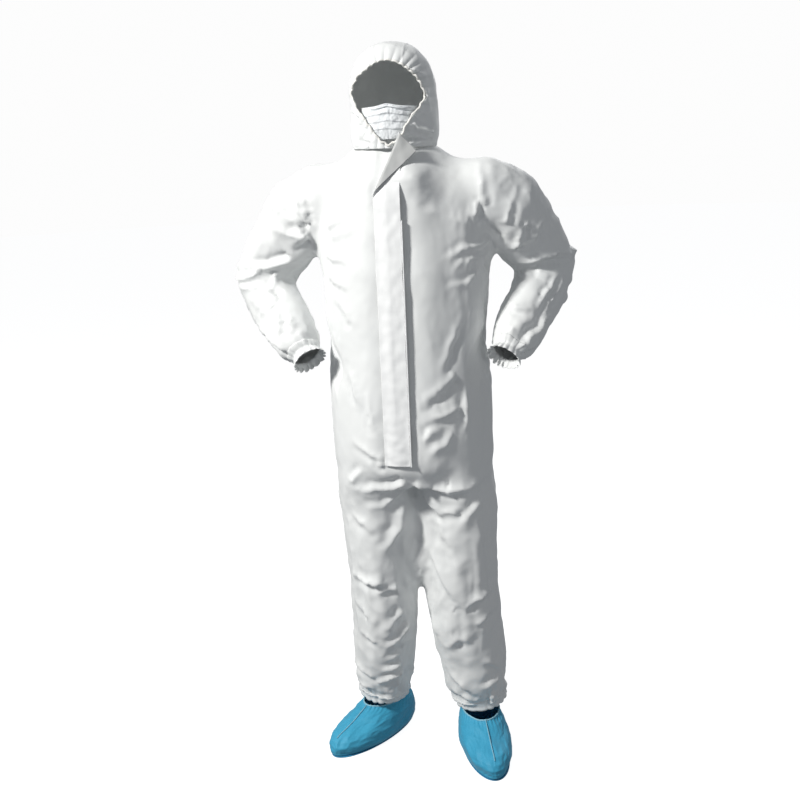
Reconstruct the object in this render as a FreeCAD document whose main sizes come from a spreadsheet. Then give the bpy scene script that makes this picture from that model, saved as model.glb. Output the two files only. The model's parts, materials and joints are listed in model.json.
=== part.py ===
"""Hooded chemical protective coverall with overshoes and a face mask, standing as it is worn.

Frame: millimetres, +Z up, the chest faces -Y, the wearer's left is +X.  The origin is on the floor, below
the middle of the suit's bounding box.  Every fabric piece is a thin closed shell that is open where the
garment is open: at the face, the wrists and the ankles.  The garment is cut at the wearer's joints, so
each limb has two rigid tubes with a soft section between them.
"""
import FreeCAD, Part
import math
import os

from FreeCAD import Placement, Rotation, Vector

doc = FreeCAD.newDocument("ProtectiveCoverall")
sheet = doc.addObject("Spreadsheet::Sheet", "Dims")

# Driving dimensions, in millimetres and degrees: alias, value, meaning.
DRIVING = [
    ("fabric", 1.2, "thickness of a fabric panel, with its seam allowance"),
    ("play", 0.4, "clearance between pieces that move past each other"),
    ("origin_x", 15.1, "moves the whole suit so that its box is centred on X = 0"),
    ("origin_y", -7.8, "moves the whole suit so that its box is centred on Y = 0"),
    # torso: height of each level, half width and half depth there
    ("seat_z", 800.0, "lower edge of the torso panels"),
    ("seat_hw", 201.0, "half width there"),
    ("seat_hd", 148.0, "half depth there"),
    ("hip_z", 920.0, "hip level"),
    ("hip_hw", 202.0, "half width there"),
    ("hip_hd", 149.0, "half depth there"),
    ("waist_z", 1130.0, "waist level"),
    ("waist_hw", 200.0, "half width there"),
    ("waist_hd", 144.0, "half depth there"),
    ("chest_z", 1310.0, "chest level"),
    ("chest_hw", 212.0, "half width there"),
    ("chest_hd", 144.0, "half depth there"),
    ("yoke_z", 1400.0, "shoulder blade level"),
    ("yoke_hw", 214.0, "half width there"),
    ("yoke_hd", 130.0, "half depth there"),
    ("shoulder_z", 1478.0, "shoulder level"),
    ("shoulder_hw", 208.0, "half width there"),
    ("shoulder_hd", 108.0, "half depth there"),
    ("collar_z", 1525.0, "level halfway from the shoulder to the neck"),
    ("collar_hw", 136.0, "half width there"),
    ("collar_hd", 96.0, "half depth there"),
    ("neck_z", 1555.0, "upper edge of the torso panels"),
    ("neck_hw", 98.0, "half width there"),
    ("neck_hd", 90.0, "half depth there"),
    ("front_y", -148.0, "front of the suit at its lower edge"),
    ("front_lean", 12.0, "how far the front leans back from there to the shoulder level"),
    ("armhole_z", 1404.0, "middle of an armhole"),
    ("armhole_y", 4.0, "middle of an armhole, front to back"),
    ("armhole_r", 74.0, "radius of an armhole"),
    ("armhole_x", 219.0, "where the armhole section starts, from the middle"),
    ("armhole_cut_x", 120.0, "where the cylinder that cuts an armhole starts, from the middle"),
    ("collar_back", 22.0, "how far the collar level sits behind the line of the front"),
    ("neck_ahead", 3.0, "how far the torso's upper edge sits ahead of the hood's lower edge"),
    ("waist_band_hw", 150.0, "half width of the elastic at the waist's back"),
    ("waist_band_y", 60.0, "where that elastic starts, behind the armholes"),
    # hood
    ("middle_x", -12.0, "X of the zipper, the hood and the face opening"),
    ("hood_y", 20.0, "middle of the hood, front to back"),
    ("hood_z", 1680.0, "level of the hood's widest section"),
    ("hood_hw", 105.0, "half width of the hood"),
    ("hood_hd", 120.0, "half depth of the hood"),
    ("hood_rise", 118.0, "height of the dome above that level"),
    ("nape_z", 1563.0, "lower edge of the hood"),
    ("nape_y", 9.0, "middle of the lower edge, front to back"),
    ("nape_hw", 97.0, "half width of the lower edge"),
    ("nape_hd", 99.0, "half depth of the lower edge, which is deeper than wide"),
    ("face_r", 78.0, "radius of the face opening's upper part"),
    ("face_z", 1666.0, "centre of that radius"),
    ("chin_z", 1574.0, "lower point of the face opening"),
    ("face_y", 10.0, "front to back, where the face opening's cut starts"),
    ("crown_w", 72.0, "width of the hood's middle panel"),
    ("elastic_w", 8.0, "width of an elastic band"),
    ("elastic_t", 1.0, "thickness of an elastic band"),
    # front closure
    ("zip_low_z", 840.0, "bottom of the zipper tapes"),
    ("zip_high_z", 1474.0, "top of the zipper tapes"),
    ("zip_hw", 16.0, "half width of the zipper, which is half the gap between the front panels"),
    ("tape_t", 0.8, "thickness of a zipper tape"),
    ("coil_r", 1.6, "radius of a zipper coil"),
    ("coil_x", 2.8, "distance of a coil from the zipper's middle"),
    ("zip_inset", 0.7, "how far the zipper's middle plane lies behind the front line"),
    ("slider_z", 1446.0, "middle of the slider when the suit is closed"),
    ("slider_len", 14.0, "length of the slider"),
    ("slider_w", 10.0, "width of the slider"),
    ("plate_t", 1.2, "thickness of the slider's front and back plates"),
    ("post_w", 1.2, "width of the post between the plates, and of the lugs"),
    ("melt", 0.2, "how far joined pieces of the slider run into each other"),
    ("pull_len", 30.0, "length of the pull tab below its eye"),
    ("pull_w", 6.0, "width of the pull tab"),
    ("pull_t", 1.4, "thickness of the pull tab"),
    ("eye_w", 3.0, "width of the pull tab's eye"),
    ("eye_r", 1.9, "outer radius of that eye"),
    ("pin_r", 0.7, "radius of the pin in that eye"),
    ("tab_drop", 1.0, "distance of the tab's plate below its eye"),
    ("neck_lap", 0.5, "how far the tab's neck runs into its plate"),
    ("flap_w", 62.0, "width of the storm flap"),
    ("flap_low_z", 826.0, "lower end of the storm flap"),
    ("flap_high_z", 1400.0, "upper end of the storm flap"),
    ("flap_gap", 9.5, "distance from the zipper's middle plane to the flap"),
    ("flap_t", 1.0, "thickness of the flap"),
    ("flap_bead_r", 1.6, "radius of the rolled seam that the flap turns on"),
    ("flap_reach", 32.0, "distance of that seam from the zipper's middle"),
    ("facing_lap", 0.6, "how far the facing runs into that seam"),
    ("facing_gap", 1.3, "gap between the facing and the front panel"),
    ("glue_w", 12.0, "width of the adhesive tape inside the flap"),
    ("glue_t", 0.5, "thickness of the adhesive tape"),
    ("glue_inset", 3.0, "distance of the adhesive tape from the flap's free edge"),
    ("glue_end", 10.0, "distance of the adhesive tape from the flap's ends"),
    # limbs
    ("sleeve_r", 78.0, "radius of the sleeve below the armhole"),
    ("elbow_r", 70.0, "radius of the sleeve at the elbow"),
    ("forearm_r", 60.0, "radius in the middle of the forearm"),
    ("gather_r", 49.2, "radius of the forearm where its gathers begin"),
    ("gather_len", 25.0, "length of the gathers above the cuff"),
    ("cuff_r", 37.0, "outer radius of the cuff"),
    ("cuff_len", 14.0, "length of the cuff's hem"),
    ("thigh_r", 97.0, "radius of the leg below the hip"),
    ("knee_r", 93.0, "radius of the leg at the knee"),
    ("shin_r", 86.0, "radius in the middle of the shin"),
    ("ankle_r", 70.0, "outer radius of the ankle hem"),
    ("ankle_len", 16.0, "length of the ankle hem"),
    ("shoulder_skip", 110.0, "distance from the shoulder's pivot to the rigid sleeve"),
    ("elbow_skip", 80.0, "distance from the elbow's pivot to the rigid tubes"),
    ("hip_skip", 175.0, "distance from the hip's pivot to the rigid leg"),
    ("knee_skip", 62.0, "distance from the knee's pivot to the rigid tubes"),
    ("section_gap", 1.0, "gap between a soft section and its neighbours"),
    # overshoes
    ("shoe_hl", 150.0, "half length of an overshoe's sole"),
    ("shoe_hw", 58.0, "half width of the sole"),
    ("sole_t", 1.5, "thickness of the sole sheet"),
    ("shoe_bulge_z", 30.0, "level of the overshoe's widest section"),
    ("shoe_bulge_hl", 154.0, "half length there"),
    ("shoe_bulge_hw", 66.0, "half width there"),
    ("shoe_instep_z", 62.0, "level of the instep section"),
    ("shoe_instep_hl", 116.0, "half length there"),
    ("shoe_instep_hw", 60.0, "half width there"),
    ("shoe_instep_back", 32.0, "how far that section sits behind the middle of the foot"),
    ("shoe_mouth_z", 88.0, "height of the ankle opening"),
    ("shoe_mouth_hl", 76.0, "half length of that opening"),
    ("shoe_mouth_hw", 50.0, "half width of that opening"),
    ("shoe_mouth_back", 56.0, "how far that opening sits behind the middle of the foot"),
    ("seam_w", 5.0, "width of the welded seam along the instep"),
    ("seam_t", 0.8, "height of that seam"),
    ("seam_start", 6.0, "distance of the seam from the ankle opening"),
    ("seam_low_z", 38.0, "lower end of the seam, over the toes"),
    # face mask
    ("mask_y", -22.0, "middle of the mask, front to back"),
    ("mask_z", 1616.0, "middle of the mask"),
    ("mask_hw", 66.0, "half width of the mask's shell"),
    ("mask_hd", 63.0, "half depth of the mask's shell"),
    ("mask_hh", 62.0, "half height of the mask's shell, before its edges are cut"),
    ("mask_low_z", 1582.0, "lower edge of the mask"),
    ("mask_high_z", 1650.0, "upper edge of the mask"),
    ("mask_back_y", -40.0, "side edges of the mask"),
    ("wire_w", 80.0, "length of the nose wire"),
    ("wire_d", 3.0, "height of the nose wire"),
    ("wire_drop", 2.0, "distance of the nose wire from the mask's upper edge"),
    ("loop_x", 61.4, "distance of an ear loop from the mask's middle"),
    ("loop_drop", 2.0, "how far the ear loops' middle is below the mask's middle"),
    ("loop_r", 24.0, "radius of an ear loop"),
    ("loop_t", 1.4, "radius of the ear loop's elastic"),
]

# The wearer's joints in the stance with the hands on the hips, before the origin's shift.
PIVOTS = {
    "right_shoulder": (-228.0, 8.0, 1438.0),
    "right_elbow": (-385.0, 92.0, 1247.0),
    "right_wrist": (-243.0, -52.0, 1080.0),
    "left_shoulder": (228.0, 8.0, 1438.0),
    "left_elbow": (352.0, 140.0, 1258.0),
    "left_wrist": (244.0, -55.0, 1083.0),
    "right_hip": (-99.0, 6.0, 868.0),
    "right_knee": (-90.0, 0.0, 440.0),
    "right_ankle": (-112.0, 60.0, 138.0),
    "left_hip": (103.0, 6.0, 868.0),
    "left_knee": (113.0, 0.0, 440.0),
    "left_ankle": (149.0, 45.0, 132.0),
}

# Where each foot stands: the middle of its sole, and how far its toes point outwards in degrees.
FEET = {
    "right_foot": (-144.0, 28.0, 34.0),
    "left_foot": (165.0, -22.0, 15.0),
}

SIDES = {"right": -1.0, "left": 1.0}


def fill_sheet():
    """Writes every driving dimension, pivot and foot as a cell with an alias."""
    rows = list(DRIVING)
    for joint, point in PIVOTS.items():
        for letter, value in zip("xyz", point):
            rows.append((f"{joint}_{letter}pos", value, f"{joint} pivot along {letter.upper()}"))
    for foot, (x, y, turn) in FEET.items():
        rows.append((f"{foot}_xpos", x, f"middle of the {foot} along X"))
        rows.append((f"{foot}_ypos", y, f"middle of the {foot} along Y"))
        rows.append((f"{foot}_turn", turn, f"how far the {foot} points outwards"))
    for row, (alias, value, meaning) in enumerate(rows, start=1):
        sheet.set(f"A{row}", meaning)
        sheet.set(f"B{row}", str(value))
        sheet.setAlias(f"B{row}", alias)
    doc.recompute()


fill_sheet()


def dim(alias):
    """The value of a driving dimension."""
    return float(sheet.get(alias))


def origin_shift():
    """The shift that puts the origin below the middle of the suit's box."""
    return Vector(dim("origin_x"), dim("origin_y"), 0.0)


def pivot(name):
    """A joint's pivot in the part's own frame."""
    return Vector(*(dim(f"{name}_{letter}pos") for letter in "xyz")) + origin_shift()


def bind(obj, **expressions):
    """Binds an object's sizes to the sheet: each keyword is a property, each value an expression."""
    for name, expression in expressions.items():
        obj.setExpression(name, expression)
    return obj


def cells(expression):
    """Turns plain aliases in an expression into references to the sheet."""
    words = expression.split(" ")
    return " ".join(f"Dims.{word}" if word[0].isalpha() else word for word in words)


def aligned(normal, x_hint):
    """A rotation whose Z is the normal and whose X is as close as it can be to the hint."""
    return Rotation(Vector(x_hint), Vector(), Vector(normal), "ZXY")


UP = Vector(0.0, 0.0, 1.0)
SIDEWAYS = Vector(1.0, 0.0, 0.0)
BACKWARD = Vector(0.0, 1.0, 0.0)


def oval(name, centre, half_x, half_y, less="0", turn=0.0):
    """A level ellipse whose half sizes are sheet expressions, made smaller all round by less."""
    curve = doc.addObject("Part::Ellipse", name)
    long_side, short_side = half_x, half_y
    if turn:
        long_side, short_side = half_y, half_x
    curve.MajorRadius = 1000.0
    bind(curve, MinorRadius=cells(f"{short_side} - {less}"), MajorRadius=cells(f"{long_side} - {less}"))
    curve.Placement = Placement(centre, Rotation(UP, turn))
    return curve


def ring(name, centre, normal, x_hint, radius, less="0"):
    """A circle with any direction, whose radius is a sheet expression made smaller by less."""
    curve = doc.addObject("Part::Circle", name)
    bind(curve, Radius=cells(f"{radius} - {less}"))
    curve.Placement = Placement(centre, aligned(normal, x_hint))
    return curve


def loft(name, sections, straight=True):
    """A solid through closed sections, with straight or smooth sides between them."""
    solid = doc.addObject("Part::Loft", name)
    solid.Sections = sections
    solid.Solid = True
    solid.Ruled = straight
    return solid


def boolean(kind, name, base, tool):
    """A Part::Cut or Part::Common of two objects."""
    result = doc.addObject(f"Part::{kind}", name)
    result.Base = base
    result.Tool = tool
    return result


def fuse(name, shapes):
    """A fusion of several objects."""
    result = doc.addObject("Part::MultiFuse", name)
    result.Shapes = shapes
    return result


def box(name, low, high):
    """A box between two corners."""
    solid = doc.addObject("Part::Box", name)
    solid.Length = high.x - low.x
    solid.Width = high.y - low.y
    solid.Height = high.z - low.z
    solid.Placement = Placement(low, Rotation())
    return solid


def cylinder(name, centre, direction, radius, length):
    """A cylinder from a centre along a direction; radius and length are sheet expressions."""
    solid = doc.addObject("Part::Cylinder", name)
    bind(solid, Radius=cells(radius), Height=cells(length))
    solid.Placement = Placement(centre, Rotation(UP, direction))
    return solid


def shell(name, build, start="0", wall="fabric"):
    """A thin wall: the solid that build makes at one size, less the one it makes a wall smaller."""
    outer = build(f"{name}_outer", start)
    inner = build(f"{name}_inner", f"( {start} + {wall} )")
    return boolean("Cut", name, outer, inner)


NODES = {}


def node(name, obj):
    """Names a finished sub-part, which is written to its own file."""
    obj.Label = name
    NODES[name] = obj
    return obj


REACH = 900.0  # larger than any piece, for the boxes that cut panels out of a shell


# ---------------------------------------------------------------------------------------------------------
# Torso: one shell, cut into two front and two back panels
# ---------------------------------------------------------------------------------------------------------
TORSO_LEVELS = ["seat", "hip", "waist", "chest", "yoke", "shoulder", "collar", "neck"]


def front_line(height):
    """Y of the suit's front at a height, on the straight line that the zipper follows."""
    rise = (height - dim("seat_z")) / (dim("shoulder_z") - dim("seat_z"))
    return dim("front_y") + dim("front_lean") * rise


def level_middle(level):
    """The middle of one torso level."""
    height = dim(f"{level}_z")
    if level == "neck":
        return Vector(dim("middle_x"), dim("nape_y") - dim("neck_ahead"), height) + origin_shift()
    middle = Vector(0.0, front_line(height) + dim(f"{level}_hd"), height)
    if level == "collar":
        middle += Vector(dim("middle_x") / 2, dim("collar_back"), 0.0)
    return middle + origin_shift()


def torso_solid(name, less):
    """The torso's solid, made smaller all round by a sheet expression."""
    sections = []
    for level in TORSO_LEVELS:
        sections.append(oval(f"{name}_{level}", level_middle(level), f"{level}_hw", f"{level}_hd", less))
    return loft(name, sections)


def torso():
    """The four torso panels, each with its part of an armhole, and the elastic at the waist's back."""
    whole = shell("torso_shell", torso_solid)
    zip_x = dim("middle_x") + dim("origin_x")
    split_y = dim("armhole_y") + dim("origin_y")
    half_gap = dim("zip_hw")
    for side, sign in SIDES.items():
        middle = Vector(sign * dim("armhole_cut_x"), dim("armhole_y"), dim("armhole_z")) + origin_shift()
        hole = cylinder(f"{side}_armhole", middle, SIDEWAYS * sign, "armhole_r", "armhole_x")
        for face, near_y, far_y, inset in (("front", split_y - REACH, split_y, half_gap),
                                           ("back", split_y, split_y + REACH, 0.0)):
            edges = sorted((zip_x + sign * inset, zip_x + sign * REACH))
            block = box(f"{side}_{face}_block", Vector(edges[0], near_y, 0.0),
                        Vector(edges[1], far_y, 2 * REACH))
            quarter = boolean("Common", f"{side}_{face}_quarter", whole, block)
            node(f"{side}_{face}_panel", boolean("Cut", f"{side}_{face}_panel", quarter, hole))
    band = shell("waist_band", torso_solid, "( fabric + play )", "elastic_t")
    middle_z = dim("waist_z")
    low = Vector(zip_x - dim("waist_band_hw"), split_y + dim("waist_band_y"), middle_z - dim("elastic_w"))
    high = Vector(zip_x + dim("waist_band_hw"), split_y + REACH, middle_z + dim("elastic_w"))
    node("waist_elastic", boolean("Common", "waist_elastic", band, box("waist_block", low, high)))


# ---------------------------------------------------------------------------------------------------------
# Hood: a neck part under a dome, with a face opening, cut into a left, a middle and a right panel
# ---------------------------------------------------------------------------------------------------------
def hood_solid(name, less):
    """The hood's solid, made smaller all round by a sheet expression."""
    base_middle = Vector(dim("middle_x"), dim("nape_y"), dim("nape_z")) + origin_shift()
    dome_middle = Vector(dim("middle_x"), dim("hood_y"), dim("hood_z")) + origin_shift()
    base = oval(f"{name}_base", base_middle, "nape_hw", "nape_hd", less, turn=90.0)
    wide = oval(f"{name}_wide", dome_middle, "hood_hw", "hood_hd", less, turn=90.0)
    dome = doc.addObject("Part::Ellipsoid", f"{name}_dome")
    bind(dome, Radius1=cells(f"hood_rise - {less}"), Radius2=cells(f"hood_hw - {less}"),
         Radius3=cells(f"hood_hd - {less}"))
    dome.Angle1 = 0.0
    dome.Angle2 = 90.0
    dome.Placement = Placement(dome_middle, Rotation())
    return fuse(name, [loft(f"{name}_lower", [base, wide]), dome])


def face_hole(name, wider):
    """The face opening's prism along Y: round at the top, with straight sides down to the chin."""
    radius = dim("face_r") + wider
    middle = Vector(dim("middle_x"), dim("face_y"), dim("face_z")) + origin_shift()
    tip = Vector(middle.x, middle.y, dim("chin_z") - wider)
    drop = middle.z - tip.z
    touch = math.asin(radius / drop)
    side_x = radius * math.cos(touch)
    side_z = middle.z - radius * math.sin(touch)
    right_touch = Vector(middle.x - side_x, middle.y, side_z)
    left_touch = Vector(middle.x + side_x, middle.y, side_z)
    top = Vector(middle.x, middle.y, middle.z + radius)
    outline = Part.Wire([
        Part.Arc(right_touch, top, left_touch).toShape(),
        Part.LineSegment(left_touch, tip).toShape(),
        Part.LineSegment(tip, right_touch).toShape(),
    ])
    prism = doc.addObject("Part::Feature", name)
    prism.Shape = Part.Face(outline).extrude(Vector(0.0, -REACH, 0.0))
    return prism


def hood():
    """The hood's three panels and the elastic round its face opening."""
    whole = boolean("Cut", "hood_open", shell("hood_shell", hood_solid), face_hole("face_cut", 0.0))
    middle_x = dim("middle_x") + dim("origin_x")
    half = dim("crown_w") / 2
    spans = {
        "hood_right_panel": (middle_x - REACH, middle_x - half),
        "hood_middle_panel": (middle_x - half, middle_x + half),
        "hood_left_panel": (middle_x + half, middle_x + REACH),
    }
    for name, (low_x, high_x) in spans.items():
        block = box(f"{name}_block", Vector(low_x, -REACH, 0.0), Vector(high_x, REACH, 2.5 * REACH))
        node(name, boolean("Common", name, whole, block))
    liner = shell("hood_liner", hood_solid, "( fabric + play )", "elastic_t")
    wide_cut = boolean("Common", "face_band", liner, face_hole("face_band_outer", dim("elastic_w")))
    node("face_elastic", boolean("Cut", "face_elastic", wide_cut, face_hole("face_band_inner", 0.0)))


# ---------------------------------------------------------------------------------------------------------
# Front closure: two tapes with their coils, a slider with its pull, and the storm flap over them
# ---------------------------------------------------------------------------------------------------------
def zip_point(height, across=0.0, forward=0.0):
    """A point on the zipper's middle plane at a height, moved across and forward of it."""
    depth = front_line(height) + dim("zip_inset") - forward
    return Vector(dim("middle_x") + across, depth, height) + origin_shift()


def zip_lean():
    """The rotation that tilts a piece from vertical to the zipper's line."""
    return Rotation(SIDEWAYS, -math.degrees(math.atan2(dim("front_lean"),
                                                       dim("shoulder_z") - dim("seat_z"))))


def zip_bar(name, across, forward, width, depth, length, height):
    """A bar on the zipper's line: width across, depth front to back, starting at a height."""
    bar = doc.addObject("Part::Box", name)
    bind(bar, Length=cells(width), Width=cells(depth), Height=cells(length))
    corner = Vector(across, -forward, 0.0)
    bar.Placement = Placement(zip_point(height) + zip_lean().multVec(corner), zip_lean())
    return bar


def zipper():
    """Tapes, coils and end stops."""
    low = dim("zip_low_z")
    length = "zip_high_z - zip_low_z"
    for side, sign in SIDES.items():
        across = dim("coil_x") if sign > 0 else -dim("zip_hw")
        node(f"{side}_zip_tape", zip_bar(f"{side}_zip_tape", across, dim("tape_t") / 2,
                                         "zip_hw - coil_x", "tape_t", length, low))
        start = zip_point(low, sign * dim("coil_x"))
        coil = cylinder(f"{side}_zip_coil", start, zip_lean().multVec(UP), "coil_r", length)
        node(f"{side}_zip_coil", coil)
    half = dim("coil_x") + dim("coil_r")
    stop = zip_bar("zip_bottom_stop", -half, dim("coil_r"), "2 * coil_x + 2 * coil_r",
                   "2 * coil_r", "slider_len / 2", low - dim("slider_len") / 2 - dim("play"))
    node("zip_bottom_stop", stop)


def slider():
    """The slider: two plates joined by a post, with two lugs that hold the pull tab's pin."""
    low = dim("slider_z") - dim("slider_len") / 2
    inside = dim("coil_r") + dim("play")
    half = dim("slider_w") / 2
    front = zip_bar("slider_front", -half, inside + dim("plate_t"), "slider_w", "plate_t",
                    "slider_len", low)
    back = zip_bar("slider_back", -half, -inside, "slider_w", "plate_t", "slider_len", low)
    post = zip_bar("slider_post", -dim("post_w") / 2, inside + dim("melt"), "post_w",
                   "2 * coil_r + 2 * play + 2 * melt", "slider_len / 2", low)
    shapes = [front, back, post]
    for side, sign in SIDES.items():
        edge = dim("eye_w") / 2 + dim("play")
        across = edge if sign > 0 else -edge - dim("post_w")
        depth = 2 * dim("eye_r") + dim("play")
        lug = zip_bar(f"{side}_slider_lug", across, inside + dim("plate_t") + depth, "post_w",
                      "2 * eye_r + play + melt", "2 * eye_r", dim("slider_z") - dim("eye_r"))
        shapes.append(lug)
    node("zip_slider", fuse("zip_slider", shapes))
    pin_start = pull_axis() - Vector(dim("eye_w") / 2 + dim("play") + dim("melt"), 0.0, 0.0)
    node("pull_pin", cylinder("pull_pin", pin_start, SIDEWAYS, "pin_r", "eye_w + 2 * play + 2 * melt"))


def pull_axis():
    """The middle of the pull tab's pin."""
    forward = dim("coil_r") + dim("play") + dim("plate_t") + dim("play") + dim("eye_r")
    return zip_point(dim("slider_z"), 0.0, forward)


def pull_tab():
    """The pull tab: an eye round the pin and a plate that hangs from it, padded from its two outlines."""
    body = doc.addObject("PartDesign::Body", "zip_pull")
    plane = next(f for f in body.Origin.OriginFeatures if f.Role == "YZ_Plane")
    outline = body.newObject("Sketcher::SketchObject", "eye_outline")
    outline.AttachmentSupport = (plane, "")
    outline.MapMode = "FlatFace"
    origin = Vector(0.0, 0.0, 0.0)
    outline.addGeometry(Part.Circle(origin, UP, dim("eye_r")), False)
    outline.addGeometry(Part.Circle(origin, UP, dim("pin_r") + dim("play")), False)
    eye = body.newObject("PartDesign::Pad", "eye_pad")
    eye.Profile = outline
    eye.Midplane = True
    bind(eye, Length=cells("eye_w"))
    doc.recompute()
    side_view = body.newObject("Sketcher::SketchObject", "tab_outline")
    side_view.AttachmentSupport = (plane, "")
    side_view.MapMode = "FlatFace"
    half = dim("pull_t") / 2
    top = -(dim("eye_r") + dim("tab_drop"))
    low = top - dim("pull_len")
    corners = [Vector(-half, low, 0), Vector(half, low, 0), Vector(half, top, 0), Vector(-half, top, 0)]
    for start, end in zip(corners, corners[1:] + corners[:1]):
        side_view.addGeometry(Part.LineSegment(start, end), False)
    tab = body.newObject("PartDesign::Pad", "tab_pad")
    tab.Profile = side_view
    tab.Midplane = True
    bind(tab, Length=cells("pull_w"))
    neck_view = body.newObject("Sketcher::SketchObject", "neck_outline")
    neck_view.AttachmentSupport = (plane, "")
    neck_view.MapMode = "FlatFace"
    rise = -(dim("pin_r") + 2 * dim("play"))
    sill = top - dim("neck_lap")
    corners = [Vector(-half, sill, 0), Vector(half, sill, 0), Vector(half, rise, 0), Vector(-half, rise, 0)]
    for start, end in zip(corners, corners[1:] + corners[:1]):
        neck_view.addGeometry(Part.LineSegment(start, end), False)
    neck = body.newObject("PartDesign::Pad", "neck_pad")
    neck.Profile = neck_view
    neck.Midplane = True
    bind(neck, Length=cells("eye_w"))
    body.Placement = Placement(pull_axis(), Rotation())
    node("zip_pull", body)


def storm_flap():
    """The flap, the rolled seam it turns on, the facing that carries the seam, and the adhesive tape."""
    length = "flap_high_z - flap_low_z"
    low = dim("flap_low_z")
    edge = dim("flap_reach")
    gap = dim("flap_gap")
    rim = dim("flap_bead_r") + dim("play")
    flap = zip_bar("storm_flap", edge - rim - dim("flap_w"), gap + dim("flap_t"), "flap_w", "flap_t",
                   length, low)
    node("storm_flap", flap)
    bead_start = zip_point(low, edge, gap + dim("flap_t") / 2)
    node("flap_seam", cylinder("flap_seam", bead_start, zip_lean().multVec(UP), "flap_bead_r", length))
    front = gap - dim("flap_bead_r") + dim("facing_lap")
    facing = zip_bar("flap_facing", edge - dim("flap_t") / 2, front, "flap_t",
                     "flap_gap - flap_bead_r - facing_lap - facing_gap", length, low)
    node("flap_facing", facing)
    across = edge - rim - dim("flap_w") + dim("glue_inset")
    tape = zip_bar("adhesive_tape", across, gap, "glue_w", "glue_t", f"{length} - 2 * glue_end",
                   low + dim("glue_end"))
    node("adhesive_tape", tape)


# ---------------------------------------------------------------------------------------------------------
# Sleeves and legs
# ---------------------------------------------------------------------------------------------------------
def along(start, end, distance):
    """The point at a distance from start towards end."""
    return start + (end - start).normalize() * distance


def limb_axis(first, second, third):
    """The hinge axis at the middle one of three pivots: square to both parts of the limb."""
    return (second - first).cross(third - second).normalize()


def tube(name, stations, start="0", wall="fabric"):
    """A fabric tube through rings; each station is a centre, a normal, an X hint and a radius."""
    def build(part_name, less):
        rings = []
        for number, (centre, normal, hint, radius) in enumerate(stations):
            rings.append(ring(f"{part_name}_{number}", centre, normal, hint, radius, less))
        return loft(part_name, rings)
    return shell(name, build, start, wall)


def hem(name, side, end, direction, hint, radius, length):
    """A hem at the end of a limb, with the elastic ring that is sewn into it."""
    stations = [(end, direction, hint, radius), (end + direction * dim(length), direction, hint, radius)]
    node(f"{side}_{name}_hem", tube(f"{side}_{name}_hem", stations))
    elastic = doc.addObject("Part::Torus", f"{side}_{name}_elastic")
    bind(elastic, Radius1=cells(f"{radius} - fabric - play - elastic_t"), Radius2=cells("elastic_t"))
    elastic.Placement = Placement(end + direction * dim(length) / 2, aligned(direction, hint))
    node(f"{side}_{name}_elastic", elastic)


def sleeve(side, sign):
    """A sleeve: armhole section, upper tube, elbow section, forearm tube, hem and elastic."""
    shoulder, elbow, wrist = (pivot(f"{side}_{joint}") for joint in ("shoulder", "elbow", "wrist"))
    upper = (elbow - shoulder).normalize()
    lower = (wrist - elbow).normalize()
    bend = limb_axis(shoulder, elbow, wrist)
    gap = dim("section_gap")
    top = along(shoulder, elbow, dim("shoulder_skip"))
    above = elbow - upper * dim("elbow_skip")
    below = elbow + lower * dim("elbow_skip")
    end = wrist
    stations = [(top, upper, bend, "sleeve_r"), (above, upper, bend, "elbow_r")]
    node(f"{side}_upper_sleeve", tube(f"{side}_upper_sleeve", stations))
    middle = (below + end) / 2
    stations = [(below, lower, bend, "elbow_r"), (middle, lower, bend, "forearm_r"),
                (end - lower * dim("gather_len"), lower, bend, "gather_r"), (end, lower, bend, "cuff_r")]
    node(f"{side}_forearm_sleeve", tube(f"{side}_forearm_sleeve", stations))
    hem("cuff", side, end, lower, bend, "cuff_r", "cuff_len")
    # the elbow section is a piece of a torus whose bend touches both tubes
    angle = upper.getAngle(lower)
    bend_r = (dim("elbow_skip") - gap) / math.tan(angle / 2)
    inward = (lower - upper).normalize()
    centre = elbow + inward * (bend_r / math.cos(angle / 2))
    def elbow_solid(name, less):
        solid = doc.addObject("Part::Torus", name)
        solid.Radius1 = bend_r
        bind(solid, Radius2=cells(f"elbow_r - {less}"))
        solid.Angle3 = math.degrees(angle)
        start = (elbow - upper * (dim("elbow_skip") - gap)) - centre
        solid.Placement = Placement(centre, aligned(start.cross(upper), start))
        return solid
    node(f"{side}_elbow_section", shell(f"{side}_elbow_section", elbow_solid))
    hole = Vector(sign * dim("armhole_x"), dim("armhole_y"), dim("armhole_z")) + origin_shift()
    across = SIDEWAYS * sign
    hint = across.cross(upper)
    stations = [(hole, across, hint, "armhole_r"), (top - upper * gap, upper, hint, "sleeve_r")]
    node(f"{side}_armhole_section", tube(f"{side}_armhole_section", stations))


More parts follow.
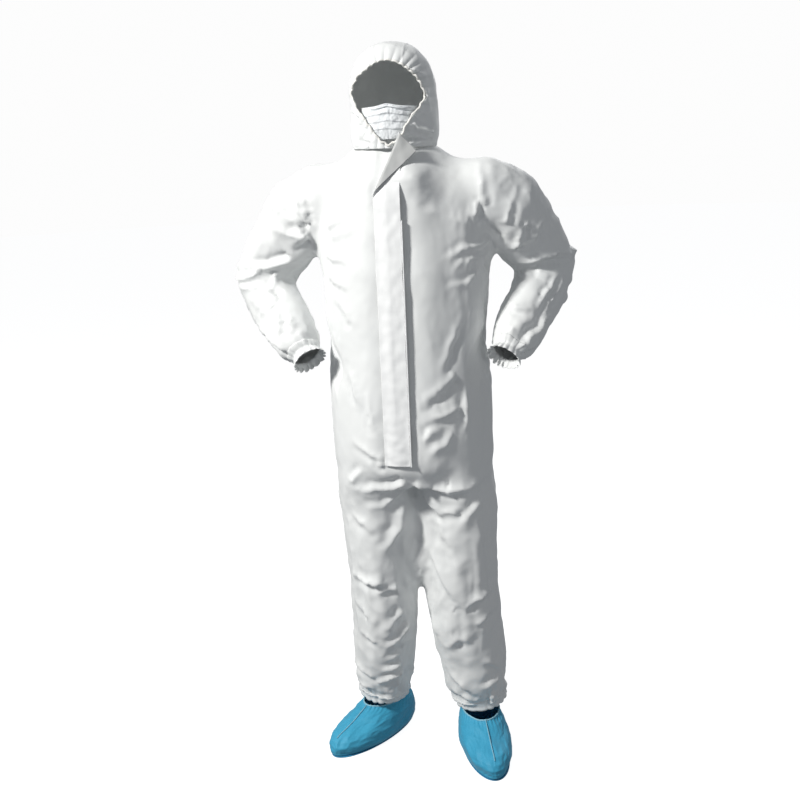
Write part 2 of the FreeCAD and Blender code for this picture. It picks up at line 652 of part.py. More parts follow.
def leg(side, sign):
    """A trouser leg: hip section, thigh tube, knee section, shin tube, hem and elastic."""
    hip, knee, ankle = (pivot(f"{side}_{joint}") for joint in ("hip", "knee", "ankle"))
    upper = (knee - hip).normalize()
    lower = (ankle - knee).normalize()
    gap = dim("section_gap")
    top = along(hip, knee, dim("hip_skip"))
    above = knee - upper * dim("knee_skip")
    below = knee + lower * dim("knee_skip")
    middle = (below + ankle) / 2
    stations = [(top, upper, SIDEWAYS, "thigh_r"), (above, upper, SIDEWAYS, "knee_r")]
    node(f"{side}_thigh_leg", tube(f"{side}_thigh_leg", stations))
    stations = [(above + upper * gap, upper, SIDEWAYS, "knee_r"),
                (below - lower * gap, lower, SIDEWAYS, "knee_r")]
    node(f"{side}_knee_section", tube(f"{side}_knee_section", stations))
    stations = [(below, lower, SIDEWAYS, "knee_r"), (middle, lower, SIDEWAYS, "shin_r"),
                (ankle, lower, SIDEWAYS, "ankle_r")]
    node(f"{side}_shin_leg", tube(f"{side}_shin_leg", stations))
    hem("ankle", side, ankle, lower, SIDEWAYS, "ankle_r", "ankle_len")

    def seat_solid(name, less):
        low = ring(f"{name}_low", top - upper * gap, -upper, BACKWARD, "thigh_r", less)
        seat_low = dim("seat_z") - gap
        half_x = "seat_hw / 2 - play"
        middle_y = front_line(dim("seat_z")) + dim("seat_hd") + dim("origin_y")
        middle_x = sign * dim("seat_hw") / 2 + dim("origin_x")
        high = doc.addObject("Part::Ellipse", f"{name}_high")
        high.MajorRadius = 1000.0
        bind(high, MinorRadius=cells(f"{half_x} - {less}"), MajorRadius=cells(f"seat_hd - {less}"))
        high.Placement = Placement(Vector(middle_x, middle_y, seat_low), Rotation(UP, 90.0))
        return loft(name, [low, high])
    node(f"{side}_hip_section", shell(f"{side}_hip_section", seat_solid))


# ---------------------------------------------------------------------------------------------------------
# Overshoes
# ---------------------------------------------------------------------------------------------------------
SHOE_LEVELS = ["sole", "bulge", "instep", "mouth"]


def overshoe(side):
    """An overshoe: its upper, sole sheet, mouth elastic and the welded seam along the instep."""
    middle = Vector(dim(f"{side}_foot_xpos"), dim(f"{side}_foot_ypos"), 0.0) + origin_shift()
    turn = dim(f"{side}_foot_turn") * -SIDES[side]
    toes = Rotation(UP, -turn).multVec(-BACKWARD)
    sizes = {
        "sole": ("shoe_hl", "shoe_hw", dim("sole_t"), 0.0),
        "bulge": ("shoe_bulge_hl", "shoe_bulge_hw", dim("shoe_bulge_z"), 0.0),
        "instep": ("shoe_instep_hl", "shoe_instep_hw", dim("shoe_instep_z"), dim("shoe_instep_back")),
        "mouth": ("shoe_mouth_hl", "shoe_mouth_hw", dim("shoe_mouth_z"), dim("shoe_mouth_back")),
    }

    def foot_oval(name, level, less, height=None):
        half_long, half_wide, level_z, back = sizes[level]
        curve = doc.addObject("Part::Ellipse", name)
        curve.MajorRadius = 1000.0
        bind(curve, MinorRadius=cells(f"{half_wide} - {less}"), MajorRadius=cells(f"{half_long} - {less}"))
        centre = middle - toes * back
        centre.z = level_z if height is None else height
        curve.Placement = Placement(centre, aligned(UP, toes))
        return curve

    def shoe_solid(name, less):
        sections = [foot_oval(f"{name}_{level}", level, less) for level in SHOE_LEVELS]
        return loft(name, sections, straight=False)

    node(f"{side}_overshoe_upper", shell(f"{side}_overshoe_upper", shoe_solid))
    sole = doc.addObject("Part::Extrusion", f"{side}_overshoe_sole")
    sole.Base = foot_oval(f"{side}_sole_outline", "sole", "0", 0.0)
    sole.Dir = UP
    sole.Solid = True
    bind(sole, LengthFwd=cells("sole_t"))
    node(f"{side}_overshoe_sole", sole)

    def mouth_solid(name, less):
        solid = doc.addObject("Part::Extrusion", name)
        solid.Base = foot_oval(f"{name}_outline", "mouth", less)
        solid.Dir = UP
        solid.Solid = True
        bind(solid, LengthFwd=cells("elastic_w / 2"))
        return solid
    node(f"{side}_overshoe_elastic", shell(f"{side}_overshoe_elastic", mouth_solid, "0", "2 * elastic_t"))
    ridge = shell(f"{side}_instep_ridge", shoe_solid, "( 0 - seam_t )", "seam_t")
    block = doc.addObject("Part::Box", f"{side}_instep_block")
    bind(block, Length=cells("shoe_hl - shoe_mouth_hl + shoe_mouth_back - 2 * seam_start"),
         Width=cells("seam_w"), Height=cells("shoe_mouth_z"))
    start = middle + toes * (dim("shoe_mouth_hl") - dim("shoe_mouth_back") + dim("seam_start"))
    across = UP.cross(toes)
    start = start - across * dim("seam_w") / 2
    start.z = dim("seam_low_z")
    block.Placement = Placement(start, aligned(UP, toes))
    node(f"{side}_overshoe_seam", boolean("Common", f"{side}_overshoe_seam", ridge, block))


# ---------------------------------------------------------------------------------------------------------
# Face mask
# ---------------------------------------------------------------------------------------------------------
def mask():
    """The face mask: a shell that bulges forward, a nose wire on it and two ear loops."""
    centre = Vector(dim("middle_x"), dim("mask_y"), dim("mask_z")) + origin_shift()

    def mask_solid(name, less):
        solid = doc.addObject("Part::Ellipsoid", name)
        bind(solid, Radius1=cells(f"mask_hh - {less}"), Radius2=cells(f"mask_hw - {less}"),
             Radius3=cells(f"mask_hd - {less}"))
        solid.Placement = Placement(centre, Rotation())
        return solid
    back_y = dim("mask_back_y") + dim("origin_y")
    low = Vector(centre.x - REACH, back_y - REACH, dim("mask_low_z"))
    high = Vector(centre.x + REACH, back_y, dim("mask_high_z"))
    node("mask_body", boolean("Common", "mask_body", shell("mask_shell", mask_solid),
                              box("mask_block", low, high)))
    wire_shell = shell("wire_shell", mask_solid, "( 0 - elastic_t )", "elastic_t")
    wire_high = dim("mask_high_z") - dim("wire_drop")
    low = Vector(centre.x - dim("wire_w") / 2, back_y - REACH, wire_high - dim("wire_d"))
    high = Vector(centre.x + dim("wire_w") / 2, back_y, wire_high)
    node("mask_nose_wire", boolean("Common", "mask_nose_wire", wire_shell, box("wire_block", low, high)))
    for side, sign in SIDES.items():
        loop = doc.addObject("Part::Torus", f"mask_{side}_ear_loop")
        bind(loop, Radius1=cells("loop_r"), Radius2=cells("loop_t"))
        loop.Angle3 = 180.0
        anchor = Vector(centre.x + sign * dim("loop_x"), back_y + dim("loop_t"),
                        dim("mask_z") - dim("loop_drop"))
        loop.Placement = Placement(anchor, Rotation(BACKWARD, UP, SIDEWAYS, "ZXY")
                                   * Rotation(UP, -90.0))
        node(f"mask_{side}_ear_loop", loop)


torso()
hood()
zipper()
slider()
pull_tab()
storm_flap()
for side_name, side_sign in SIDES.items():
    sleeve(side_name, side_sign)
    leg(side_name, side_sign)
    overshoe(side_name)
mask()
doc.recompute()


def check_objects():
    """Stops if any object failed or any sub-part is empty or not valid."""
    for obj in doc.Objects:
        if "Invalid" in obj.State or "Error" in obj.State:
            raise RuntimeError(f"{obj.Name} did not compute: {obj.State}")
    for name, obj in NODES.items():
        shape = obj.Shape
        if shape.isNull() or not shape.isValid() or not shape.Solids:
            raise RuntimeError(f"{name} has no valid solid")


def write_parts():
    """Writes every sub-part to parts/NODE.step."""
    os.makedirs("parts", exist_ok=True)
    total = FreeCAD.BoundBox()
    for name, obj in NODES.items():
        obj.Shape.exportStep(f"parts/{name}.step")
        total.add(obj.Shape.BoundBox)
        print(f"{name}: {len(obj.Shape.Solids)} solid(s), {obj.Shape.Volume / 1000:.2f} cm3")
    print(f"{len(NODES)} nodes")
    print(f"box X {total.XMin:.1f} {total.XMax:.1f}  Y {total.YMin:.1f} {total.YMax:.1f}"
          f"  Z {total.ZMin:.1f} {total.ZMax:.1f}")


check_objects()
write_parts()
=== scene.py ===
# %% [markdown]
# # A chemical protective suit, dressed over its frame
#
# The suit is a disposable hooded coverall of thin white film laminate, worn with blue overshoes and a
# folded face mask. The frame, which is loaded first, holds the true sizes, the joints and the plain tubes
# of fabric. This lesson gives each of them its looks: the garment is cut from a few broad tubes, hung on a
# stand-in for the wearer by cloth simulation, and then divided at the seams into pieces.

# %% Load the frame
import json
import math

import bmesh
import bpy
from mathutils import Euler, Matrix, Vector


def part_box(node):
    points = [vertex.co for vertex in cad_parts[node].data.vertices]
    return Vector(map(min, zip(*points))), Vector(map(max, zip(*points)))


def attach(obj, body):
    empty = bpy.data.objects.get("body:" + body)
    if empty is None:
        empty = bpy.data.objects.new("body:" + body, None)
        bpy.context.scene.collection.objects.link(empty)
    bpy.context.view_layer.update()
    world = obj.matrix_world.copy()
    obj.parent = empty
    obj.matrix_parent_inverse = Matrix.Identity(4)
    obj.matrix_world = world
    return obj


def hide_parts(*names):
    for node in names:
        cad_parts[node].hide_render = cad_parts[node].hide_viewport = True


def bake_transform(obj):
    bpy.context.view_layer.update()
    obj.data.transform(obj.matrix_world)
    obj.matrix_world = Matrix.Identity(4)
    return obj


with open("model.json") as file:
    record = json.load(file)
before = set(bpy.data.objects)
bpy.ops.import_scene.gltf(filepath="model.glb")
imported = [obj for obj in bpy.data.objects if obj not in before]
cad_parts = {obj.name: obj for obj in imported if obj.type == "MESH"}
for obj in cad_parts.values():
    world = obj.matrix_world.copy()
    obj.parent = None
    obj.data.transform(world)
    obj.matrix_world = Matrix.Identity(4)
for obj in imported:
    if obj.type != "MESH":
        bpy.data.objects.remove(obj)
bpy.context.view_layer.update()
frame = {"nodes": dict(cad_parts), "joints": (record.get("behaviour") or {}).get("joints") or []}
NODES = frame["nodes"]
JOINTS = {joint["name"]: joint for joint in frame["joints"]}
SIDES = {"right": -1.0, "left": 1.0}


# %% [markdown]
# ## Reading places from the frame
#
# Every place in this script comes from the frame: a joint's pivot, or the box of a part. `pivot` reads a
# joint, `middle` and `size` read a part's box. A limb is then two straight lines between three pivots, and
# `limb` gives them with their directions.

# %% Places and directions
UP = Vector((0, 0, 1))
FRONT = Vector((0, -1, 0))
MM = 0.001


def pivot(joint):
    """A joint's pivot in metres."""
    return Vector(JOINTS[joint]["pos_m"])


def middle(node):
    """The middle of a part's box."""
    low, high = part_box(node)
    return (low + high) / 2


def size(node):
    """The size of a part's box."""
    low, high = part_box(node)
    return high - low


def limb(first, second, third):
    """Three pivots with the directions of the two straight parts between them."""
    upper = (second - first).normalized()
    lower = (third - second).normalized()
    return first, second, third, upper, lower


def arm(side):
    """The sleeve's line: shoulder, elbow and the middle of the cuff."""
    shoulder = pivot(f"{side}_shoulder_lift")
    elbow = pivot(f"{side}_elbow_straighten")
    return limb(shoulder, elbow, middle(f"{side}_cuff_hem"))


def leg(side):
    """The trouser leg's line: hip, knee and the middle of the ankle hem."""
    hip = pivot(f"{side}_hip_swing")
    knee = pivot(f"{side}_knee_bend")
    return limb(hip, knee, middle(f"{side}_ankle_hem"))


ZIP_X = middle("zip_slider").x
SEAT_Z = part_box("left_front_panel")[0].z
NECK_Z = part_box("left_front_panel")[1].z
print("zipper at x", round(ZIP_X, 4), "seat at", round(SEAT_Z, 3), "neck at", round(NECK_Z, 3))


# %% [markdown]
# ## Small helpers for modelling
#
# Operators act on whatever is selected, so every step starts by clearing the selection. `apply_all`
# applies an object's modifiers one after another, as a modeller does before the next step.

# %% Helpers
def clear():
    """Leaves edit mode and selects nothing."""
    if bpy.context.object and bpy.context.object.mode != "OBJECT":
        bpy.ops.object.mode_set(mode="OBJECT")
    bpy.ops.object.select_all(action="DESELECT")


def pick(piece):
    """Selects one object and makes it active."""
    clear()
    piece.select_set(True)
    bpy.context.view_layer.objects.active = piece
    return piece


def named(piece, name):
    """Gives an object and its mesh the same name."""
    piece.name = name
    piece.data.name = name
    return piece


def settle(piece):
    """Moves an object's place into its mesh, so that the object sits at the origin."""
    pick(piece)
    bpy.ops.object.transform_apply(location=True, rotation=True, scale=True)
    return piece


def copy_of(piece, name):
    """A copy with its own mesh."""
    twin = piece.copy()
    twin.data = piece.data.copy()
    bpy.context.scene.collection.objects.link(twin)
    return named(twin, name)


def modify(piece, kind, **settings):
    """Adds a modifier and sets it up."""
    modifier = piece.modifiers.new(kind.lower(), kind)
    for key, value in settings.items():
        setattr(modifier, key, value)
    return modifier


def apply_all(piece):
    """Applies every modifier."""
    pick(piece)
    for modifier in list(piece.modifiers):
        bpy.ops.object.modifier_apply(modifier=modifier.name)
    return piece


def smooth(piece):
    """Smooth shading all over."""
    pick(piece)
    bpy.ops.object.shade_smooth()
    return piece


def join(pieces, name):
    """Joins several objects into one."""
    clear()
    for piece in pieces:
        piece.select_set(True)
    bpy.context.view_layer.objects.active = pieces[0]
    bpy.ops.object.join()
    return named(bpy.context.object, name)


# %% [markdown]
# ## Camera, floor and light
#
# The camera stands a little to the wearer's left, at chest height, and looks slightly down. The studio is
# a pale floor, a pale surround and three soft lamps: a large one from the upper left that draws the folds,
# a weak one from the right that fills them, and one behind that lifts the edges.

# %% Camera
LENS = 47.0
CAMERA_TURN = math.radians(9.0)
CAMERA_PITCH = math.radians(-14.6)
CAMERA_ROLL = math.radians(-2.6)
CAMERA_DISTANCE = 2.5
CAMERA_HEIGHT = 1.60
CAMERA_AIM = Vector((-0.0099, -0.0078, 0))


def add_camera():
    """A camera with a level roll, aimed by its turn and pitch."""
    look = Vector((-math.sin(CAMERA_TURN) * math.cos(CAMERA_PITCH),
                   math.cos(CAMERA_TURN) * math.cos(CAMERA_PITCH), math.sin(CAMERA_PITCH)))
    right = Vector((math.cos(CAMERA_TURN), math.sin(CAMERA_TURN), 0))
    top = right.cross(look)
    turned_right = right * math.cos(CAMERA_ROLL) + top * math.sin(CAMERA_ROLL)
    turned_top = top * math.cos(CAMERA_ROLL) - right * math.sin(CAMERA_ROLL)
    place = Vector((math.sin(CAMERA_TURN) * CAMERA_DISTANCE, -math.cos(CAMERA_TURN) * CAMERA_DISTANCE,
                    CAMERA_HEIGHT)) + CAMERA_AIM
    bpy.ops.object.camera_add(location=place)
    camera = bpy.context.object
    camera.name = "camera"
    camera.data.lens = LENS
    camera.data.clip_start = 0.05
    turn = Matrix((turned_right, turned_top, -look)).transposed()
    camera.matrix_world = Matrix.Translation(place) @ turn.to_4x4()
    bpy.context.scene.camera = camera
    return camera


add_camera()


# %% Floor and lamps
def add_lamp(name, place, aim, watts, width, colour=(1, 1, 1)):
    """A square soft lamp that points at aim."""
    bpy.ops.object.light_add(type="AREA", location=place)
    lamp = bpy.context.object
    lamp.name = name
    lamp.data.energy = watts
    lamp.data.size = width
    lamp.data.color = colour
    lamp.rotation_euler = (Vector(place) - Vector(aim)).to_track_quat("Z", "Y").to_euler()


def stage_material(name, colour, glow):
    """A matt paint with a glow of its own, so that the floor and the surround meet without a line."""
    paint = bpy.data.materials.new(name)
    paint.use_nodes = True
    shader = paint.node_tree.nodes["Principled BSDF"]
    shader.inputs["Base Color"].default_value = (colour, colour, colour, 1)
    shader.inputs["Roughness"].default_value = 1.0
    shader.inputs["Specular IOR Level"].default_value = 0.0
    shader.inputs["Emission Color"].default_value = (1, 1, 1, 1)
    shader.inputs["Emission Strength"].default_value = glow
    return paint


STAGE_RADIUS = 18.0


def add_studio():
    """The floor, the surround and the lamps."""
    bpy.ops.mesh.primitive_circle_add(vertices=96, radius=STAGE_RADIUS, fill_type="NGON",
                                      location=(0, 0, -0.0005))
    floor = named(bpy.context.object, "floor")
    floor.data.materials.append(stage_material("studio_floor", 0.30, 0.915))
    bpy.ops.mesh.primitive_uv_sphere_add(segments=64, ring_count=32, radius=STAGE_RADIUS)
    surround = named(bpy.context.object, "surround")
    surround.data.materials.append(stage_material("studio_surround", 0.0, 0.98))
    for piece in (floor, surround):
        piece.visible_diffuse = False
        piece.visible_glossy = False
        piece.visible_shadow = False
    world = bpy.data.worlds.new("surround_light")
    bpy.context.scene.world = world
    world.use_nodes = True
    backing = world.node_tree.nodes["Background"]
    backing.inputs["Color"].default_value = (0.90, 0.94, 1.0, 1)
    backing.inputs["Strength"].default_value = WORLD_LIGHT
    add_lamp("key_lamp", (-2.4, -2.2, 3.4), (0, 0, 1.1), KEY_WATTS, 0.5, (1.0, 0.985, 0.96))
    add_lamp("fill_lamp", (2.8, -2.4, 1.4), (0, 0, 0.9), FILL_WATTS, 2.0)
    add_lamp("rim_lamp", (0.8, 2.6, 2.6), (0, 0, 1.2), RIM_WATTS, 1.4)


WORLD_LIGHT = 0.24
KEY_WATTS = 190
FILL_WATTS = 10
RIM_WATTS = 30
add_studio()
bpy.context.scene.view_settings.view_transform = "Standard"


# %% [markdown]
# ## Tubes of cloth
#
# `oval` adds one ring of points, and `tube` bridges a row of ovals into a closed tube. Every limb starts
# as such a tube.

# %% Ovals and tubes
RING_POINTS = 40


def oval(centre, direction, half_x, half_y):
    """One oval of points, square to a direction."""
    turn = Vector(direction).to_track_quat("Z", "Y").to_euler()
    clear()
    bpy.ops.mesh.primitive_circle_add(vertices=RING_POINTS, radius=1, location=centre, rotation=turn)
    bpy.context.object.scale = (half_x, half_y, 1)
    return settle(bpy.context.object)


def tube(name, stations, caps=True):
    """A tube through ovals: each station is a centre, a direction and its two half sizes."""
    piece = join([oval(*station) for station in stations], name)
    bpy.ops.object.mode_set(mode="EDIT")
    bpy.ops.mesh.select_all(action="SELECT")
    bpy.ops.mesh.bridge_edge_loops(type="SINGLE")
    if caps:
        bpy.ops.mesh.select_all(action="SELECT")
        bpy.ops.mesh.fill_holes(sides=0)
    bpy.ops.mesh.select_all(action="SELECT")
    bpy.ops.mesh.normals_make_consistent(inside=False)
    bpy.ops.object.mode_set(mode="OBJECT")
    return piece


# %% [markdown]
# ## The coverall's form
#
# The garment is drafted as overlapping tubes, one for the trunk, one for the hood and one for each sleeve
# and leg, in the places that the frame's parts hold. Voxel remesh melts them into one skin with even
# squares, which is what cloth simulation likes best. The same form, drawn in a little, is the wearer.

# %% Trunk, sleeves and legs
def oval_of(node, part=0.5):
    """Centre and half sizes of a part's box, part of the way up it."""
    low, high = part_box(node)
    centre = low.lerp(high, 0.5)
    centre.z = low.z + (high.z - low.z) * part
    return centre, (high.x - low.x) / 2, (high.y - low.y) / 2


def trunk_form():
    """The trunk from the crotch to the neck."""
    right_low, right_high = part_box("right_front_panel")
    left_low, left_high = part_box("left_front_panel")
    back_low, back_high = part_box("left_back_panel")
    half = (left_high.x - right_low.x) / 2
    mid_x = (left_high.x + right_low.x) / 2
    front = left_low.y
    depth = (back_high.y - front) / 2
    mid_y = front + depth
    crotch = SEAT_Z - 0.045
    shape = [
        (crotch, 0.0, 0.86, 0.80),
        (SEAT_Z, 0.0, 0.94, 0.96),
        (0.90, 0.0, 0.945, 1.0),
        (1.02, 0.002, 0.94, 0.985),
        (1.15, 0.003, 0.94, 0.97),
        (1.30, 0.005, 0.985, 0.97),
        (1.39, 0.006, 1.0, 0.90),
        (1.445, 0.008, 1.03, 0.80),
        (1.49, 0.010, 0.92, 0.68),
        (1.522, 0.012, 0.66, 0.62),
        (NECK_Z + 0.01, 0.004, 0.43, 0.50),
    ]
    stations = []
    for height, back, wide, deep in shape:
        pull = (ZIP_X - mid_x) * max(0.0, (height - 1.45) / (NECK_Z - 1.45))
        stations.append((Vector((mid_x + pull, mid_y + back, height)), UP, half * wide, depth * deep))
    return tube("trunk_form", stations)


def sleeve_form(side):
    """A sleeve from inside the shoulder to the cuff, bent round the elbow."""
    shoulder, elbow, wrist, upper, lower = arm(side)
    around = (lower - upper).normalized()
    across = (upper + lower).normalized()
    inward = Vector((-SIDES[side], 0, 0))
    hem = size(f"{side}_cuff_hem")
    cuff = max(hem) * 0.5
    stations = [
        (shoulder + inward * 0.10 + UP * 0.012, -inward, 0.070, 0.078),
        (shoulder + inward * 0.035 + UP * 0.006, (upper * 0.35 - inward).normalized(), 0.076, 0.086),
        (shoulder + upper * 0.045, (upper - inward * 0.45).normalized(), 0.082, 0.090),
        (shoulder + upper * 0.115, upper, 0.080, 0.084),
        (elbow - upper * 0.085, upper, 0.074, 0.076),
        (elbow - upper * 0.045 + around * 0.006, (upper * 2 + lower).normalized(), 0.072, 0.074),
        (elbow + around * 0.014, across, 0.070, 0.074),
        (elbow + lower * 0.045 + around * 0.006, (upper + lower * 2).normalized(), 0.070, 0.073),
        (elbow + lower * 0.085, lower, 0.069, 0.071),
        (wrist - lower * 0.09, lower, 0.063, 0.064),
        (wrist - lower * 0.035, lower, 0.054, 0.054),
        (wrist - lower * 0.004, lower, cuff, cuff),
    ]
    return tube(f"{side}_sleeve_form", stations)


def leg_form(side):
    """A trouser leg from inside the seat to the ankle hem."""
    hip, knee, ankle, upper, lower = leg(side)
    hem = size(f"{side}_ankle_hem")
    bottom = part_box(f"{side}_ankle_hem")[0].z
    end = ankle + lower * ((ankle.z - bottom) * 0.9)
    wide = hem.x / 2
    stations = [
        (Vector((hip.x * 0.92, hip.y, 0.87)), -UP, 0.088, 0.115),
        (Vector((hip.x * 1.0, hip.y, SEAT_Z - 0.03)), -UP, 0.095, 0.122),
        (hip + upper * 0.19, upper, 0.0935, 0.112),
        (hip + upper * 0.30, upper, 0.0915, 0.102),
        (knee - upper * 0.05, upper, 0.089, 0.096),
        (knee + lower * 0.05, lower, 0.087, 0.093),
        (knee + lower * 0.17, lower, 0.084, 0.090),
        (ankle - lower * 0.06, lower, 0.080, 0.086),
        (end, lower, wide, wide * 1.05),
    ]
    return tube(f"{side}_leg_form", stations)


def make_room(form):
    """Presses the trunk in where a forearm lies against it, as hands on hips do."""
    modify(form, "REMESH", mode="VOXEL", voxel_size=0.018)
    apply_all(form)
    for side in SIDES:
        elbow, wrist, lower = arm(side)[1], arm(side)[2], arm(side)[4]
        for vertex in form.data.vertices:
            part = (vertex.co - elbow).dot(lower) / (wrist - elbow).length
            near = elbow.lerp(wrist, min(max(part, 0.0), 1.15))
            room = 0.103 - 0.030 * max(0.0, min(1.0, (part - 0.6) / 0.4))
            gap = vertex.co - near
            if gap.length < room:
                inward = Vector((-SIDES[side], 0.25, 0)).normalized()
                vertex.co += inward * (room - gap.length)
    return form


def garment_form(voxel):
    """All the tubes melted into one skin of even squares."""
    forms = [make_room(trunk_form())]
    for side in SIDES:
        forms.append(sleeve_form(side))
        forms.append(leg_form(side))
    form = join(forms, "garment_form")
    modify(form, "REMESH", mode="VOXEL", voxel_size=voxel, use_smooth_shade=True)
    modify(form, "SMOOTH", factor=0.5, iterations=3)
    return apply_all(form)


def zip_back(z):
    """The plane behind the zipper's tapes, which leans back a little towards the neck."""
    points = [vertex.co for vertex in NODES["right_zip_tape"].data.vertices]
    low, high = min(point.z for point in points), max(point.z for point in points)
    y_low = max(point.y for point in points if point.z < low + MM)
    y_high = max(point.y for point in points if point.z > high - MM)
    return y_low + (y_high - y_low) * (z - low) / (high - low)


ZIP_LOW, ZIP_HIGH = zip_back(0.0), zip_back(1.0)


def front_plane(z):
    """How far forward the cloth lies along the zipper."""
    return ZIP_LOW + (ZIP_HIGH - ZIP_LOW) * z + 1.0 * MM


def flatten_front(form):
    """Lays the front flat behind the zipper, so that the zipper runs straight."""
    for vertex in form.data.vertices:
        x, y, z = vertex.co
        if y > -0.02 or z < SEAT_Z - 0.02 or z > NECK_Z:
            continue
        part = 1.0 - max(0.0, min(1.0, (abs(x - ZIP_X - 0.008) - 0.045) / 0.075))
        part *= min(1.0, (z - SEAT_Z + 0.02) / 0.04) * min(1.0, (NECK_Z - z) / 0.07)
        part = part * part * (3 - 2 * part)
        if y < -0.05:
            vertex.co.y += (front_plane(z) - y) * part
    return form


VOXEL = 0.0115
garment = flatten_front(garment_form(VOXEL))
print("garment form", len(garment.data.vertices), "points", [round(c, 3) for c in garment.dimensions])


# %% [markdown]
# ## Hanging the cloth
#
# A coverall is cut much wider than the person in it, and the spare cloth sags and buckles. Cloth
# simulation gives that for nothing: the form is let grow by a few percent and hung on the wearer, held only
# at the neck, the zipper, the cuffs and the hems. The wearer is the same form, drawn in. A vertex group
# says how much each place grows: most round the elbows, armpits, knees and ankles.

# %% Measures along a limb
ARMS = {side: arm(side) for side in SIDES}
LEGS = {side: leg(side) for side in SIDES}
MID_X = (ARMS["right"][0].x + ARMS["left"][0].x) / 2
CROTCH = Vector((MID_X, 0.0, SEAT_Z - 0.04))


def ramp(value, low, high):
    """0 at low, 1 at high, smooth between."""
    part = max(0.0, min(1.0, (value - low) / (high - low)))
    return part * part * (3 - 2 * part)


def from_line(point, start, end):
    """Distance of a point from the straight line between two others."""
    line = end - start
    part = max(0.0, min(1.0, (point - start).dot(line) / line.length_squared))
    return (point - start - line * part).length


def near_arm(point, side):
    """Distance of a point from the sleeve's middle line."""
    shoulder, elbow, wrist = ARMS[side][:3]
    return min(from_line(point, shoulder, elbow), from_line(point, elbow, wrist))


# %% Where the cloth is loose, and where it is held
def slack(point, normal):
    """How much a place grows, from 0 to 1."""
    loose = 0.12
    for side in SIDES:
        shoulder, elbow, wrist = ARMS[side][:3]
        armpit = shoulder + Vector((-SIDES[side] * 0.03, 0, -0.10))
        loose = max(loose, 1.0 - ramp((point - elbow).length, 0.06, 0.19))
        loose = max(loose, 0.8 * (1.0 - ramp((point - armpit).length, 0.05, 0.16)))
        if near_arm(point, side) < 0.1 and abs(point.x - MID_X) > 0.2:
            loose = max(loose, 0.55)
        knee, ankle = LEGS[side][1:3]
        if point.z < SEAT_Z:
            loose = max(loose, 0.45, 0.8 * (1.0 - ramp(abs(point.z - knee.z), 0.05, 0.16)))
            loose = max(loose, 1.0 - ramp(point.z - ankle.z, 0.02, 0.24))
    return loose * ramp((point - CROTCH).length, 0.06, 0.26)


def held(point, normal):
    """1 where the cloth is held fast: the neck, the zipper, the cuffs and the hems."""
    grip = ramp(point.z, NECK_Z - 0.035, NECK_Z - 0.005)
    if point.y < 0 and point.z > SEAT_Z:
        grip = max(grip, 1.0 - ramp(abs(point.x - ZIP_X), 0.030, 0.050))
    for side in SIDES:
        wrist, lower = ARMS[side][2], ARMS[side][4]
        if (point - wrist).length < 0.09:
            grip = max(grip, ramp((point - wrist).dot(lower), -0.016, -0.002))
        ankle = LEGS[side][2]
        grip = max(grip, 1.0 - ramp(point.z - ankle.z + 0.02, 0.0, 0.02))
    return grip


def inset(point, normal):
    """How far the wearer stays inside the cloth, from 0 to 1: little on the shoulders and the chest."""
    part = 1.0 - 0.8 * ramp(normal.z, 0.2, 0.8)
    if point.z > SEAT_Z and abs(point.x - MID_X) < 0.2:
        part *= (1.0 - 0.75 * ramp(-normal.y, 0.2, 0.7)) * (1.0 - 0.5 * ramp(normal.y, 0.2, 0.7))
    for side in SIDES:
        if near_arm(point, side) < 0.1 and abs(point.x - MID_X) > 0.2:
            part *= 0.45
    return part * ramp((point - CROTCH).length, 0.05, 0.22)


def weight_group(piece, rule):
    """A vertex group whose weights come from a rule of place and normal."""
    group = piece.vertex_groups.new(name=rule.__name__)
    for vertex in piece.data.vertices:
        group.add([vertex.index], min(rule(vertex.co, vertex.normal), 1.0), "REPLACE")
    return group.name


# %% Simulation
WEARER_INSET = 0.018
GROWTH = 0.055
FRAMES = 16


def wearer(form):
    """A stand-in for the wearer: the form drawn in."""
    body = copy_of(form, "wearer_form")
    modify(body, "DISPLACE", strength=-WEARER_INSET, mid_level=0.0, vertex_group=weight_group(body, inset))
    modify(body, "SMOOTH", factor=0.5, iterations=4)
    apply_all(body)
    modify(body, "COLLISION")
    body.collision.thickness_outer = 0.002
    body.collision.cloth_friction = 12.0
    return body


def hang(piece, body):
    """Lets the cloth grow and settle on the wearer, then keeps the shape that it has taken."""
    cloth = modify(piece, "CLOTH")
    settings = cloth.settings
    settings.quality = 6
    settings.mass = 0.08
    settings.tension_stiffness = 15
    settings.compression_stiffness = 15
    settings.shear_stiffness = 5
    settings.bending_stiffness = 0.2
    settings.vertex_group_mass = weight_group(piece, held)
    settings.vertex_group_shrink = weight_group(piece, slack)
    settings.shrink_min = 0.0
    settings.shrink_max = -GROWTH
    cloth.collision_settings.distance_min = 0.002
    scene = bpy.context.scene
    scene.frame_end = FRAMES
    cloth.point_cache.frame_end = FRAMES
    drafted = [vertex.co.copy() for vertex in piece.data.vertices]
    for number in range(1, FRAMES + 1):
        scene.frame_set(number)
    apply_all(piece)
    bpy.data.objects.remove(body)
    scene.frame_set(1)
    for vertex, place in zip(piece.data.vertices, drafted):
        vertex.co = place.lerp(vertex.co, ramp((place - CROTCH).length, 0.12, 0.30))


def seed_folds(piece):
    """Faint clouds of height, so that the growing cloth knows where to buckle."""
    clouds = bpy.data.textures.new("seed_folds", "CLOUDS")
    clouds.noise_scale = 0.07
    modify(piece, "DISPLACE", strength=0.008, mid_level=0.5, texture=clouds, texture_coords="GLOBAL")
    apply_all(piece)


seed_folds(garment)
hang(garment, wearer(garment))
modify(garment, "SUBSURF", levels=1, render_levels=1)
apply_all(garment)
garment.vertex_groups.clear()
print("hung garment", len(garment.data.vertices), "points")


